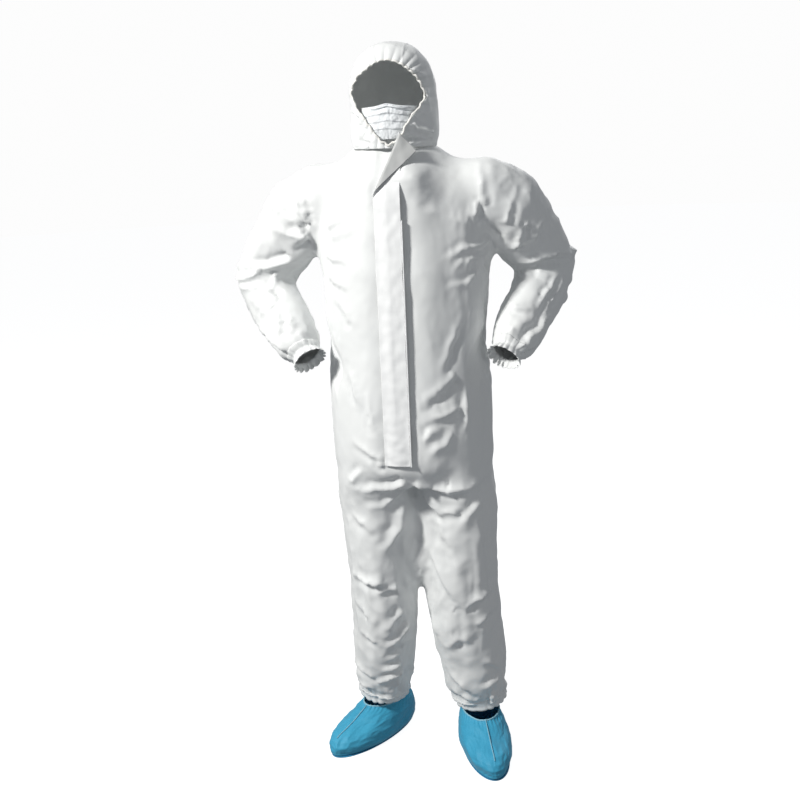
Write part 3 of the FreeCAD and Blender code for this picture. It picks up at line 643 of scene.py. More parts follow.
# %% [markdown]
# ## Chalk marks and creases
#
# Film laminate doesn't drape in soft waves: it breaks into long sharp creases that start where a limb bends
# and run out over the smooth cloth. They are drawn as a cutter would chalk them on the suit, as short lines
# seen from the front (or the back) and measured in centimetres from a joint. Each line becomes a crest
# with a sharp top and a hollow along one side, pressed into the points of the mesh.

# %% Creases
import numpy as np
from mathutils.kdtree import KDTree

CM = 0.01
CREASE_DEPTH = 1.3
CHALK_STEP = 0.008


class Surface:
    """A mesh's points and normals as arrays, with a way to find the cloth behind a chalk mark."""

    def __init__(self, piece):
        self.piece = piece
        count = len(piece.data.vertices)
        self.points = np.empty(count * 3)
        self.normals = np.empty(count * 3)
        piece.data.vertices.foreach_get("co", self.points)
        piece.data.vertices.foreach_get("normal", self.normals)
        self.points = self.points.reshape(-1, 3)
        self.normals = self.normals.reshape(-1, 3)
        self.lift = np.zeros(count)
        self.tree = KDTree(count)
        for number, (x, y, z) in enumerate(self.points):
            self.tree.insert((x, 0, z), number)
        self.tree.balance()

    def cast(self, x, z, side):
        """The index of the cloth's foremost point (side -1) or hindmost point (side 1) at x, z."""
        hits = [hit[1] for hit in self.tree.find_range((x, 0, z), 0.010)]
        if not hits:
            hits = [self.tree.find((x, 0, z))[1]]
        return max(hits, key=lambda number: self.points[number][1] * side)

    def chalk(self, corners, side):
        """A chalk line's points on the cloth, and the cloth's normals there."""
        marks = []
        for (x0, z0), (x1, z1) in zip(corners, corners[1:]):
            steps = max(1, round(math.hypot(x1 - x0, z1 - z0) / CHALK_STEP))
            for step in range(steps + 1):
                part = step / steps
                marks.append(self.cast(x0 + (x1 - x0) * part, z0 + (z1 - z0) * part, side))
        marks = list(dict.fromkeys(marks))
        return self.points[marks], self.normals[marks]

    def crease(self, corners, width, height, side=-1, fade=0.0):
        """Raises a crest along a chalk line, with a hollow on its lower side."""
        line, normals = self.chalk(corners, side)
        if len(line) < 2:
            return
        reach = 3.2 * width
        low, high = line.min(axis=0) - reach, line.max(axis=0) + reach
        inside = np.nonzero(np.all((self.points > low) & (self.points < high), axis=1))[0]
        facing = self.normals[inside] @ normals.mean(axis=0)
        inside = inside[facing > 0.15]
        points = self.points[inside]
        best = np.full(len(inside), 9.0)
        across = np.zeros(len(inside))
        place = np.zeros(len(inside))
        for number in range(len(line) - 1):
            start, run = line[number], line[number + 1] - line[number]
            part = np.clip((points - start) @ run / max(run @ run, 1e-12), 0, 1)
            gap = points - start - part[:, None] * run
            far = np.linalg.norm(gap, axis=1)
            sideways = np.cross(run, normals[number])
            closer = far < best
            best = np.where(closer, far, best)
            across = np.where(closer, np.sign(gap @ sideways) * far, across)
            place = np.where(closer, (number + part) / (len(line) - 1), place)
        taper = np.sin(np.pi * np.clip(place, 0.02, 0.98)) ** 0.6
        if fade:
            taper = np.clip(place / 0.06, 0, 1) * (1 - place) ** 0.7 if fade > 0 else \
                np.clip((1 - place) / 0.06, 0, 1) * place ** 0.7
        crest = np.exp(-np.abs(across / width) ** 1.25)
        hollow = np.exp(-((across - 1.7 * width) / (1.1 * width)) ** 2)
        self.lift[inside] += CREASE_DEPTH * height * taper * (crest - 0.6 * hollow)

    def press(self):
        """Moves the points by what all the creases add up to."""
        moved = self.points + self.normals * self.lift[:, None]
        self.piece.data.vertices.foreach_set("co", moved.ravel())
        self.piece.data.update()


# joint or place, corners in centimetres (to the wearer's left, up), width and height in millimetres, and
# where the crease is strongest: 0 in the middle, 1 at its first corner, -1 at its last
FRONT_CREASES = [
    # wearer's right sleeve
    ("right_elbow", [(12.0, 5.4), (4.3, 2.9), (-5.8, 5.0)], 9, 11, 1),
    ("right_elbow", [(2.9, 2.9), (-2.2, 1.4), (-7.4, 0.4)], 8, 9, 0),
    ("right_elbow", [(1.6, -0.5), (-5.2, -1.6)], 6, 5, 0),
    ("right_elbow", [(2.9, 1.8), (8.6, -2.0)], 9, -9, -1),
    ("right_elbow", [(8.0, 2.0), (5.0, -0.6), (-1.0, -4.0)], 7, 6, 1),
    ("right_elbow", [(6.4, -3.8), (1.2, -8.2)], 6, 5, 1),
    ("right_elbow", [(7.8, -5.0), (7.4, -12.0)], 7, 6, 0),
    ("right_elbow", [(10.6, -6.8), (12.4, -9.4)], 6, 6, 0),
    ("right_elbow", [(2.0, -11.5), (9.8, -15.8)], 8, 9, 0),
    ("right_elbow", [(-1.0, -8.5), (3.5, -13.5)], 6, 5, 0),
    ("right_shoulder", [(0.8, -6.8), (-5.5, -2.4)], 7, 8, 1),
    ("right_shoulder", [(-3.8, -3.4), (-9.0, 2.4)], 9, 6, 0),
    ("right_shoulder", [(0.8, -5.6), (-0.6, 5.2)], 6, 6, 1),
    ("right_shoulder", [(-1.0, -3.6), (-2.8, 6.2)], 8, 4, 0),
    ("right_shoulder", [(1.2, -8.2), (-3.6, -8.0), (-9.6, -5.2)], 11, 9, 1),
    ("right_shoulder", [(1.0, -9.6), (-3.2, -12.2)], 9, -8, 1),
    # wearer's left sleeve
    ("left_elbow", [(-9.6, 1.4), (-4.8, 2.0), (2.4, 3.6), (6.4, 3.4)], 9, 11, 0),
    ("left_elbow", [(-9.6, -0.6), (-4.4, 0.2)], 7, 7, 1),
    ("left_elbow", [(1.4, -1.6), (-2.4, -7.0)], 6, 6, 0),
    ("left_elbow", [(3.4, -2.4), (-2.2, -10.0)], 7, 6, 0),
    ("left_elbow", [(1.4, -9.2), (-7.2, -16.4)], 9, 8, 0),
    ("left_elbow", [(-9.8, -6.6), (-3.4, -7.6)], 7, 6, 1),
    ("left_elbow", [(-12.6, -15.8), (-8.0, -16.6)], 6, 5, 0),
    ("left_elbow", [(-8.0, -17.6), (-3.2, -17.4)], 6, 6, 0),
    ("left_elbow", [(-4.0, 0.8), (3.6, -2.8)], 8, 5, 1),
    ("left_shoulder", [(-2.0, -6.6), (1.8, -12.0)], 9, -10, 0),
    ("left_shoulder", [(3.6, -13.4), (7.2, -6.2)], 8, 9, 1),
    ("left_shoulder", [(7.2, -6.2), (8.8, -9.2)], 6, 6, 1),
    ("left_shoulder", [(2.2, -7.0), (5.4, 3.4)], 8, 5, 1),
    ("left_shoulder", [(-4.4, -4.4), (-3.8, -0.6)], 6, 6, 0),
    ("left_shoulder", [(-2.4, -2.6), (-3.8, 9.4)], 8, 4, 1),
    ("left_shoulder", [(9.0, -9.0), (13.6, -1.5)], 10, 6, 1),
    ("left_shoulder", [(4.6, -12.4), (11.0, -9.0)], 8, 6, 1),
    # chest and flanks
    ("chest", [(-17.6, 2.4), (-12.4, 1.0)], 7, 5, 1),
    ("chest", [(-17.4, -2.2), (-12.2, -5.6)], 7, 5, 1),
    ("chest", [(-17.0, 9.0), (-11.0, 12.5)], 12, 6, 1),
    ("chest", [(-16.4, 7.2), (-8.0, 9.8)], 12, 5, 1),
    ("chest", [(17.5, 9.0), (9.0, 12.0), (3.8, 14.0)], 16, 5, 1),
    ("chest", [(21.5, 4.0), (16.5, 3.6), (11.0, 1.6)], 8, 6, 1),
    ("chest", [(21.4, 1.2), (17.0, 0.8), (12.8, -1.2)], 7, 5, 1),
    ("chest", [(20.6, -1.0), (21.2, -5.5), (20.4, -10.0)], 8, -8, 0),
    ("chest", [(18.6, -3.6), (12.0, -5.4)], 7, 4, 1),
    ("chest", [(-15.6, -8.0), (-11.6, -13.0)], 9, 4, 0),
    # waist and hips
    ("belly", [(15.6, 14.0), (11.6, 4.0)], 9, -7, 0),
    ("belly", [(14.4, 1.2), (10.4, -2.0), (5.8, -5.6)], 11, -10, 1),
    ("belly", [(7.6, -6.6), (15.2, -5.2)], 8, 6, 0),
    ("belly", [(15.6, -0.8), (15.4, -11.0)], 8, 6, 0),
    ("belly", [(12.6, -11.6), (7.0, -16.4)], 10, 5, 0),
    ("belly", [(8.8, -9.6), (4.6, -12.4)], 8, 4, 0),
    ("belly", [(-13.2, 4.4), (-11.0, -4.0)], 9, 5, 0),
    ("belly", [(-8.8, -2.0), (-7.0, -11.0)], 8, 4, 0),
    ("belly", [(-13.8, -13.0), (-8.6, -16.0), (-4.0, -18.0)], 8, 7, -1),
    # crotch and thighs
    ("crotch", [(0.0, -0.6), (-6.5, -2.8), (-15.4, -3.2)], 9, 10, 1),
    ("crotch", [(-1.0, -3.2), (-6.0, -7.2), (-12.0, -8.4)], 9, 7, 1),
    ("crotch", [(-12.0, 2.2), (-15.8, -0.8)], 8, 6, 0),
    ("crotch", [(1.4, -1.2), (8.6, -3.4), (15.4, -2.4), (20.6, 0.4)], 9, 11, 1),
    ("crotch", [(1.8, -5.0), (6.4, -9.6), (14.6, -7.8)], 10, 8, 1),
    ("crotch", [(-1.6, -7.0), (-2.6, -14.0), (-7.0, -20.5)], 12, 8, 0),
    ("crotch", [(5.4, -11.0), (9.0, -18.0), (10.6, -26.0)], 13, 6, 1),
    ("crotch", [(18.0, -6.0), (13.0, -12.0)], 10, 5, 0),
    ("crotch", [(-15.5, -10.5), (-10.0, -13.0)], 9, 5, 0),
    # knees and shins
    ("right_knee", [(-7.4, 6.6), (-3.0, 5.4), (3.0, 5.2)], 9, 9, 0),
    ("right_knee", [(-1.4, 2.2), (5.8, 4.0)], 8, 8, -1),
    ("right_knee", [(-7.0, -1.0), (-3.5, -5.2)], 8, 5, 0),
    ("right_knee", [(6.6, -3.0), (0.6, -9.6)], 10, 6, 1),
    ("right_knee", [(7.4, -8.2), (3.6, -12.6), (-2.0, -13.6)], 9, 8, 1),
    ("right_knee", [(-7.0, -10.0), (-1.0, -12.0)], 9, 5, 0),
    ("left_knee", [(-8.4, 14.0), (-3.4, 4.6), (1.2, -1.6)], 12, 6, 0),
    ("left_knee", [(2.4, -0.4), (8.8, 2.4)], 9, 7, 0),
    ("left_knee", [(5.4, -6.0), (8.8, -3.2)], 8, 6, 0),
    ("left_knee", [(-8.2, -5.0), (-6.8, -11.0)], 9, 6, 0),
    ("left_knee", [(-5.0, -13.5), (2.0, -9.0)], 11, 5, 0),
    # ankles
    ("right_ankle", [(7.4, 7.8), (3.0, 5.6), (-2.0, 3.0)], 8, 9, 1),
    ("right_ankle", [(7.0, 10.6), (1.6, 8.2)], 8, 8, 1),
    ("right_ankle", [(7.6, 14.6), (3.0, 12.0)], 8, 6, 1),
    ("right_ankle", [(-7.4, 3.4), (-2.4, 2.2)], 7, 6, 0),
    ("right_ankle", [(-7.8, 9.4), (-1.6, 6.0)], 8, 6, 0),
    ("right_ankle", [(4.6, 2.0), (7.0, 6.4)], 7, 6, 0),
    ("left_ankle", [(6.0, 3.0), (1.4, 0.6)], 7, 7, 1),
    ("left_ankle", [(6.4, 7.4), (1.8, 5.0)], 8, 7, 1),
    ("left_ankle", [(-7.0, 9.0), (-2.0, 3.6)], 9, 7, 0),
    ("left_ankle", [(-7.2, 3.8), (-3.0, 1.0)], 7, 6, 0),
    ("left_ankle", [(3.4, 13.4), (7.0, 10.6)], 8, 5, 0),
    ("left_ankle", [(4.2, 4.6), (4.6, -1.6)], 6, 6, 0),
]

BACK_CREASES = [
    ("{side}_elbow", [(0.0, 5.6), (8.0, 3.0)], 9, 8, 0),
    ("{side}_elbow", [(-3.5, 1.6), (5.5, 0.6)], 8, 7, 0),
    ("{side}_elbow", [(-3.0, -4.4), (3.0, -9.0)], 8, 6, 0),
    ("{side}_elbow", [(4.0, -6.4), (9.0, -12.4)], 8, 6, 0),
    ("{side}_shoulder", [(2.2, -8.4), (-5.0, -3.0)], 10, 9, 1),
    ("{side}_shoulder", [(4.0, -10.4), (10.5, -4.0)], 11, 8, 1),
    ("{side}_shoulder", [(2.0, -5.0), (1.0, 4.6)], 9, 6, 1),
    ("{side}_shoulder", [(5.6, -15.0), (12.6, -17.6)], 11, 7, 1),
    ("{side}_hip", [(-6.5, -5.0), (1.4, -8.6), (7.6, -9.6)], 12, 9, -1),
    ("{side}_hip", [(-7.6, -11.6), (-0.4, -13.6), (7.2, -12.6)], 10, 8, -1),
    ("{side}_hip", [(-6.0, 4.6), (2.0, 1.4)], 13, 6, 0),
    ("{side}_knee", [(-7.0, 3.2), (0.0, 1.6), (6.6, 3.4)], 10, 9, 0),
    ("{side}_knee", [(-6.4, -2.0), (0.6, -2.6), (6.4, -0.6)], 9, 8, 0),
    ("{side}_knee", [(-5.4, -8.2), (4.6, -5.4)], 11, 7, 0),
    ("{side}_knee", [(-5.8, 9.4), (5.0, 7.4)], 12, 6, 0),
    ("{side}_ankle", [(-6.4, 4.4), (5.4, 6.6)], 9, 8, 0),
    ("{side}_ankle", [(-5.6, 9.6), (6.0, 11.6)], 10, 7, 0),
    ("{side}_ankle", [(-4.4, 14.6), (5.6, 16.0)], 10, 6, 0),
    ("waist", [(-13.0, 1.0), (-4.0, -0.6), (5.0, 0.8), (13.0, -0.4)], 9, 7, 0),
    ("waist", [(-12.0, 4.4), (-3.0, 3.4)], 11, 5, 0),
    ("waist", [(12.6, 5.0), (3.6, 4.0)], 11, 5, 0),
    ("waist", [(-10.0, -4.0), (0.0, -5.0), (11.0, -4.4)], 12, 5, 0),
]


def places():
    """The joints and places that the chalk marks are measured from."""
    found = {}
    for side in SIDES:
        found[f"{side}_shoulder"], found[f"{side}_elbow"], found[f"{side}_wrist"] = ARMS[side][:3]
        found[f"{side}_hip"], found[f"{side}_knee"] = LEGS[side][:2]
        found[f"{side}_ankle"] = pivot(f"{side}_ankle_tilt")
    found["chest"] = Vector((MID_X, 0, size("waist_elastic").z + middle("waist_elastic").z + 0.15))
    found["waist"] = Vector((MID_X, 0, middle("waist_elastic").z))
    found["belly"] = Vector((MID_X, 0, middle("waist_elastic").z - 0.12))
    found["crotch"] = Vector((MID_X + 0.006, 0, SEAT_Z - 0.022))
    return found


def mark_creases(surface):
    """Adds every chalk mark's crease to the garment's surface."""
    spots = places()
    for place, corners, width, height, fade in FRONT_CREASES:
        spot = spots[place]
        line = [(spot.x + x * CM, spot.z + z * CM) for x, z in corners]
        surface.crease(line, width * MM, height * MM, -1, fade)
    for place, corners, width, height, fade in BACK_CREASES:
        sides = SIDES if "{side}" in place else {"left": 1.0}
        for side, sign in sides.items():
            spot = spots[place.format(side=side)]
            line = [(spot.x + x * sign * CM, spot.z + z * CM) for x, z in corners]
            surface.crease(line, width * MM, height * MM, 1, fade)
    print("creases", len(FRONT_CREASES), "in front,", len(BACK_CREASES), "behind")


# %% [markdown]
# ## Gathers
#
# Elastic draws cloth into narrow dark valleys between broad puffs. `gather` is that wave round an opening:
# its valleys are sharp, its puffs are round, and no two are quite alike. The wave is pressed into the
# sleeves and legs near their ends, and each end is finished by its own gathered tube, which starts exactly
# on the garment's surface.

# %% Gathered ends
from mathutils import noise


def gather(angle, count, seed):
    """A wave round an opening, from -1 in the valleys to 1 on the puffs."""
    phase = count * angle + 1.3 * math.sin(2 * angle + seed) + 0.8 * math.sin(5 * angle + 2.1 * seed)
    depth = 0.7 + 0.3 * math.sin(3 * angle + 1.7 * seed)
    return (2 * abs(math.sin(phase / 2)) ** 0.75 - 1) * depth


def axes(direction):
    """Two directions square to one direction and to each other."""
    across = direction.cross(Vector((0.13, -1, 0.07))).normalized()
    return across, direction.cross(across).normalized()


def ends():
    """Every cuff and hem: name, middle, direction outwards, gathers and seed."""
    for side in SIDES:
        seed = 1.0 + SIDES[side]
        yield f"{side}_cuff", middle(f"{side}_cuff_hem"), ARMS[side][4], 17, seed
        yield f"{side}_hem", middle(f"{side}_ankle_hem"), LEGS[side][4], 19, seed + 3


ENDS = list(ends())


def gather_ends(surface):
    """Gathers the cloth near every cuff and hem."""
    for name, centre, direction, count, seed in ENDS:
        across, over = axes(direction)
        reach, high = (0.06, 1.6) if "cuff" in name else (0.07, 1.8)
        gaps = surface.points - np.array(centre)
        for number in np.nonzero(np.linalg.norm(gaps, axis=1) < 0.13)[0]:
            gap = Vector(gaps[number])
            back = -gap.dot(direction)
            if -0.03 < back < 0.11:
                angle = math.atan2(gap.dot(over), gap.dot(across))
                fade = math.exp(-(max(back - 0.018, 0.0) / reach * 1.6) ** 1.5)
                surface.lift[number] += high * MM * fade * gather(angle, count, seed)


def skin(name, rows, around=True):
    """A mesh through rows of points; around closes each row on itself."""
    wide = len(rows[0])
    faces = []
    for row in range(len(rows) - 1):
        for column in range(wide if around else wide - 1):
            after = (column + 1) % wide
            low, high = row * wide, (row + 1) * wide
            faces.append((low + column, low + after, high + after, high + column))
    mesh = bpy.data.meshes.new(name)
    mesh.from_pydata([tuple(point) for row in rows for point in row], [], faces)
    mesh.update()
    piece = bpy.data.objects.new(name, mesh)
    bpy.context.scene.collection.objects.link(piece)
    return piece


def face_out(piece):
    """Turns every face outwards."""
    pick(piece)
    bpy.ops.object.mode_set(mode="EDIT")
    bpy.ops.mesh.select_all(action="SELECT")
    bpy.ops.mesh.normals_make_consistent(inside=False)
    bpy.ops.object.mode_set(mode="OBJECT")
    return piece


CUFF_PROFILE = [(-9, 36.0, 1.0), (-6, 34.5, 1.2), (-2, 34.3, 1.3), (1, 35.5, 1.6), (4, 37.5, 2.2), (8, 39.0, 3.0),
                (12, 39.8, 3.8), (15, 40.2, 4.2)]
HEM_PROFILE = [(-14, 70.0, 1.5), (-9, 68.8, 1.3), (-4, 68.4, 1.3), (0, 69.0, 1.4), (4, 69.6, 1.6), (8, 70.0, 1.9)]
END_COLUMNS = 220


def gathered_end(name, centre, direction, profile, count, seed):
    """A gathered tube of cloth that starts on the garment's own surface and ends in a ruffle."""
    across, over = axes(direction)
    start = -0.020
    rows = []
    first = []
    for column in range(END_COLUMNS):
        angle = column / END_COLUMNS * math.tau
        out = across * math.cos(angle) + over * math.sin(angle)
        origin = centre + direction * start
        hit, place, normal, index = garment.ray_cast(origin, out, distance=0.12)
        first.append((place - origin).length if hit else profile[0][1] * MM)
    for height, radius, deep in [(-20, None, 0), (-17, None, 0)] + profile:
        row = []
        for column in range(END_COLUMNS):
            angle = column / END_COLUMNS * math.tau
            out = across * math.cos(angle) + over * math.sin(angle)
            wave = gather(angle, count, seed)
            if radius is None:
                reach = first[column] + 0.0004
            else:
                blend = min(1.0, (height + 17) / 10)
                ruffle = 0.0015 * noise.noise(Vector((angle * 3, height * 0.05, seed)))
                reach = first[column] * (1 - blend) + (radius + deep * wave) * MM * blend + ruffle * blend
            along = height * MM + (0.0016 * wave * max(0, height) / 12 if radius else 0)
            row.append(centre + direction * along + out * reach)
        rows.append(row)
    piece = face_out(skin(name, rows))
    smooth(piece)
    modify(piece, "SOLIDIFY", thickness=0.0006, offset=-1)
    return piece


# %% Press the folds, then finish the ends
def crumple(surface):
    """Small sharp crumples everywhere: strong on the limbs, faint on the chest and back."""
    for number, point in enumerate(surface.points):
        place = Vector(point)
        limb = max(ramp(abs(place.x - MID_X), 0.20, 0.24), ramp(-place.z, -SEAT_Z, -SEAT_Z + 0.08))
        ridge = 0.5 - abs(noise.noise(place * 14 + Vector((3, 7, 1)))) * 2.4
        fine = 0.5 - abs(noise.noise(Vector((place.x * 34, place.y * 34, place.z * 26)))) * 2.2
        broad = noise.noise(Vector((place.x * 9, place.y * 9, place.z * 6 + 4)))
        surface.lift[number] += MM * (ridge * (0.5 + 2.1 * limb) + fine * (0.35 + 0.9 * limb) + broad * (1.6 + 2.2 * limb))


def draw_waist(surface):
    """Gathers the back into the waist's elastic."""
    spot, wide = middle("waist_elastic"), size("waist_elastic").x / 2
    for number, (x, y, z) in enumerate(surface.points):
        if y < 0.02 or abs(z - spot.z) > 0.09 or abs(x - spot.x) > wide + 0.02:
            continue
        side = 1.0 - ramp(abs(x - spot.x), wide - 0.02, wide + 0.02)
        near = math.exp(-((z - spot.z) / 0.028) ** 2)
        band = math.exp(-((z - spot.z) / 0.009) ** 4)
        wave = gather(x / 0.32 * math.tau, 26, 2.0)
        surface.lift[number] += side * MM * (near * wave * 2.2 - band * 2.6 - near * 1.5)


def fold_garment(piece):
    """Presses crumples, creases and gathers into the garment."""
    surface = Surface(piece)
    crumple(surface)
    mark_creases(surface)
    draw_waist(surface)
    gather_ends(surface)
    for number, (x, y, z) in enumerate(surface.points):
        calm = 1.0 - ramp(abs(x - ZIP_X - 0.008), 0.034, 0.052) if y < -0.03 and z > SEAT_Z + 0.02 else 0.0
        surface.lift[number] *= 1.0 - 0.97 * calm
    surface.press()


fold_garment(garment)
end_pieces = {}
for end_name, end_centre, end_direction, end_count, end_seed in ENDS:
    end_profile = CUFF_PROFILE if "cuff" in end_name else HEM_PROFILE
    end_pieces[end_name] = gathered_end(f"{end_name}_cloth", end_centre, end_direction, end_profile, end_count, end_seed)


# %% [markdown]
# ## Cutting the garment at the joints
#
# One cloth piece can bend across one joint only, so the garment is cut into nine pieces. The pieces keep
# the whole garment's normals, and the cuts don't show. A flood through the mesh's edges finds each
# sleeve, and a plane between the legs parts the legs.

# %% Cuts
ELBOW_CUT, ELBOW_HALF = -0.050, 0.045
HIP_Z, THIGH_Z, LEG_CUT = 0.745, 0.55, 0.540


def elbow_way(side):
    """The direction across which the elbow bends."""
    return (ARMS[side][3] + ARMS[side][4]).normalized()


def outside_arm(point, side):
    """Where the flood that finds a sleeve has to stop."""
    out = SIDES[side] * (point.x - MID_X)
    if point.z > 1.22:
        return out < 0.205 + 0.02 * ramp(-point.z, -1.36, -1.30)
    elbow, wrist, lower = ARMS[side][1], ARMS[side][2], ARMS[side][4]
    part = (point - elbow).dot(lower) / (wrist - elbow).length
    return near_arm(point, side) > 0.088 - 0.028 * ramp(part, 0.6, 1.0)


def between_legs(z):
    """The plane between the legs."""
    part = (LEGS["left"][0].z - z) / (LEGS["left"][0].z - LEGS["left"][1].z)
    return sum(LEGS[side][0].lerp(LEGS[side][1], part).x for side in SIDES) / 2


def flood(neighbours, points, start, stop):
    """Every point reached from a start through the mesh's edges."""
    found, waiting = {start}, [start]
    while waiting:
        for other in neighbours[waiting.pop()]:
            if other not in found and not stop(points[other]):
                found.add(other)
                waiting.append(other)
    return found


def zones(piece):
    """The name of each point's zone."""
    mesh = piece.data
    points = [vertex.co.copy() for vertex in mesh.vertices]
    neighbours = [[] for point in points]
    for edge in mesh.edges:
        first, second = edge.vertices
        neighbours[first].append(second)
        neighbours[second].append(first)
    zone = []
    for point in points:
        if point.z > HIP_Z + 0.004:
            zone.append("body")
        else:
            side = "left" if point.x > between_legs(point.z) else "right"
            zone.append(f"{side}_{'thigh' if point.z > LEG_CUT else 'shin'}")
    for side in SIDES:
        shoulder, elbow = ARMS[side][:2]
        outer = elbow + Vector((SIDES[side] * 0.07, 0, 0))
        start = min(range(len(points)), key=lambda number: (points[number] - outer).length)
        for number in flood(neighbours, points, start, lambda point: outside_arm(point, side)):
            far = (points[number] - elbow).dot(elbow_way(side)) > ELBOW_CUT
            zone[number] = f"{side}_{'forearm' if far else 'sleeve'}"
    return zone


def past_end(point, zone):
    """Inside a cuff's or hem's closed end, or inside the neck."""
    if zone == "body":
        return point.z > NECK_Z + 0.004
    for name, centre, direction, count, seed in ENDS:
        if zone in (name.replace("cuff", "forearm"), name.replace("hem", "shin")):
            return (point - centre).dot(direction) > -0.018
    return False


def cut_garment(piece):
    """Cuts the garment into its zones and returns the pieces by zone."""
    mesh = piece.data
    zone = zones(piece)
    whole = mesh.attributes.new("whole_normal", "FLOAT_VECTOR", "POINT")
    normals = np.empty(len(mesh.vertices) * 3, dtype=np.float32)
    mesh.vertices.foreach_get("normal", normals)
    whole.data.foreach_set("vector", normals)
    names = ["body"] + [f"{side}_{part}" for side in SIDES for part in ("sleeve", "forearm", "thigh", "shin")]
    for name in names:
        mesh.materials.append(bpy.data.materials.new(f"cut_{name}"))
    gone = bpy.data.materials.new("cut_gone")
    mesh.materials.append(gone)
    for polygon in mesh.polygons:
        corners = list(polygon.vertices)
        polygon.material_index = names.index(min((zone[corner] for corner in corners), key=names.index))
        if all(past_end(mesh.vertices[corner].co, zone[corner]) for corner in corners):
            polygon.material_index = len(names)
    pick(piece)
    bpy.ops.object.mode_set(mode="EDIT")
    bpy.ops.mesh.select_all(action="SELECT")
    bpy.ops.mesh.separate(type="MATERIAL")
    bpy.ops.object.mode_set(mode="OBJECT")
    found = {}
    for part in list(bpy.context.selected_objects):
        key = part.data.materials[part.data.polygons[0].material_index].name.replace("cut_", "")
        part.data.materials.clear()
        if key == "gone":
            bpy.data.objects.remove(part)
            continue
        found[key] = smooth(named(part, f"{key}_cloth"))
    for part in found.values():
        values = np.empty(len(part.data.vertices) * 3, dtype=np.float32)
        part.data.attributes["whole_normal"].data.foreach_get("vector", values)
        part.data.normals_split_custom_set_from_vertices(values.reshape(-1, 3).tolist())
        part.data.attributes.remove(part.data.attributes["whole_normal"])
    for material in list(bpy.data.materials):
        if material.name.startswith("cut_"):
            bpy.data.materials.remove(material)
    return found


cloth = cut_garment(garment)
print("cut pieces", {name: len(piece.data.vertices) for name, piece in cloth.items()})


# %% [markdown]
# ## The hood
#
# The hood is one smooth surface round the head: an ellipsoid above the ears, and a longer one below, which
# runs down to the neck. Its rows start at the face opening and close at the back of the head, so the gathers
# can run out from the opening's elastic as rays.

# %% Hood
HOOD_MID = (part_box("hood_right_panel")[0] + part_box("hood_left_panel")[1]) / 2
HOOD_MID.y = (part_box("hood_middle_panel")[0].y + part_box("hood_middle_panel")[1].y) / 2
HOOD_MID.z = 1.680
HOOD_HALF = Vector(((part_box("hood_left_panel")[1].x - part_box("hood_right_panel")[0].x) / 2 - 0.002,
                    (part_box("hood_middle_panel")[1].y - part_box("hood_middle_panel")[0].y) / 2 - 0.001,
                    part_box("hood_middle_panel")[1].z - 1.680 - 0.003))
HOOD_LOW = 0.30
HOOD_END = NECK_Z + 0.001
FACE_Z = 1.666
# the face opening's outline: degrees from the wearer's left, and millimetres from its middle
OPENING = [(0, 81), (24, 78), (48, 76), (90, 80), (125, 76), (150, 82), (170, 86), (190, 76), (215, 68), (235, 72),
           (250, 82), (262, 94), (270, 100), (278, 96), (290, 84), (305, 72), (325, 67), (345, 74), (360, 81)]
HOOD_COLUMNS, HOOD_ROWS = 320, 96


def opening_radius(angle):
    """The face opening's radius, smooth between the outline's points."""
    degrees = math.degrees(angle) % 360
    for (low, first), (high, second) in zip(OPENING, OPENING[1:]):
        if low <= degrees <= high:
            part = (degrees - low) / (high - low)
            return (first + (second - first) * part * part * (3 - 2 * part)) * MM
    return OPENING[0][1] * MM


def hood_radius(way):
    """Distance from the hood's middle to its surface in a direction."""
    tall = HOOD_HALF.z if way.z > 0 else HOOD_LOW
    return 1 / math.sqrt((way.x / HOOD_HALF.x) ** 2 + (way.y / HOOD_HALF.y) ** 2 + (way.z / tall) ** 2)


def opening_way(angle):
    """The direction from the hood's middle to the opening's edge."""
    reach = opening_radius(angle)
    x, z = reach * math.cos(angle), reach * math.sin(angle) + FACE_Z - HOOD_MID.z
    tall = HOOD_HALF.z if z > 0 else HOOD_LOW
    deep = math.sqrt(max(0.03, 1 - (x / HOOD_HALF.x) ** 2 - (z / tall) ** 2))
    return Vector((x, -HOOD_HALF.y * deep, z)).normalized()


def bump_at(point, centre, reach):
    """A soft round bump: 1 in its middle, 0 beyond its reach."""
    return math.exp(-((point - centre).length / reach) ** 2)


def hood_row(part):
    """One ring of the hood, part of the way from the opening to the back of the head."""
    row = []
    for column in range(HOOD_COLUMNS):
        angle = column / HOOD_COLUMNS * math.tau
        start = opening_way(angle)
        way = start.slerp(Vector((0, 1, 0)), min(part, 0.9999)).normalized()
        reach = hood_radius(way)
        point = HOOD_MID + way * reach
        away = start.angle(way) * 0.11
        upper = 0.6 + 0.4 * max(0.0, math.sin(angle))
        lift = 3.4 * upper * gather(angle, 31, 4.0) * math.exp(-(away / 0.042) ** 1.4)
        lift += 1.2 * math.exp(-(away / 0.02) ** 2)
        calm = 1.0 - math.exp(-(away / 0.05) ** 2)
        ridge = 0.5 - abs(noise.noise(point * 13 + Vector((5, 1, 2)))) * 2.2
        fine = 0.5 - abs(noise.noise(point * 32)) * 2.2
        lift += calm * (ridge * 2.6 + fine * 1.0 + noise.noise(point * 8) * 4.0)
        low = ramp(-point.z, -1.625, -1.575)
        lift += low * (4.0 * noise.noise(Vector((point.x * 12, point.y * 12, point.z * 40))) + 1.5)
        lift += 13 * bump_at(point, HOOD_MID + Vector((0.088, -0.045, -0.088)), 0.034)
        lift += 9 * bump_at(point, HOOD_MID + Vector((-0.082, -0.055, -0.092)), 0.030)
        for seam in (-0.036, 0.036):
            if point.z > HOOD_MID.z - 0.02:
                lift += 0.9 * math.exp(-((point.x - HOOD_MID.x - seam) / 0.0022) ** 2)
        row.append(point + way * lift * MM)
    return row


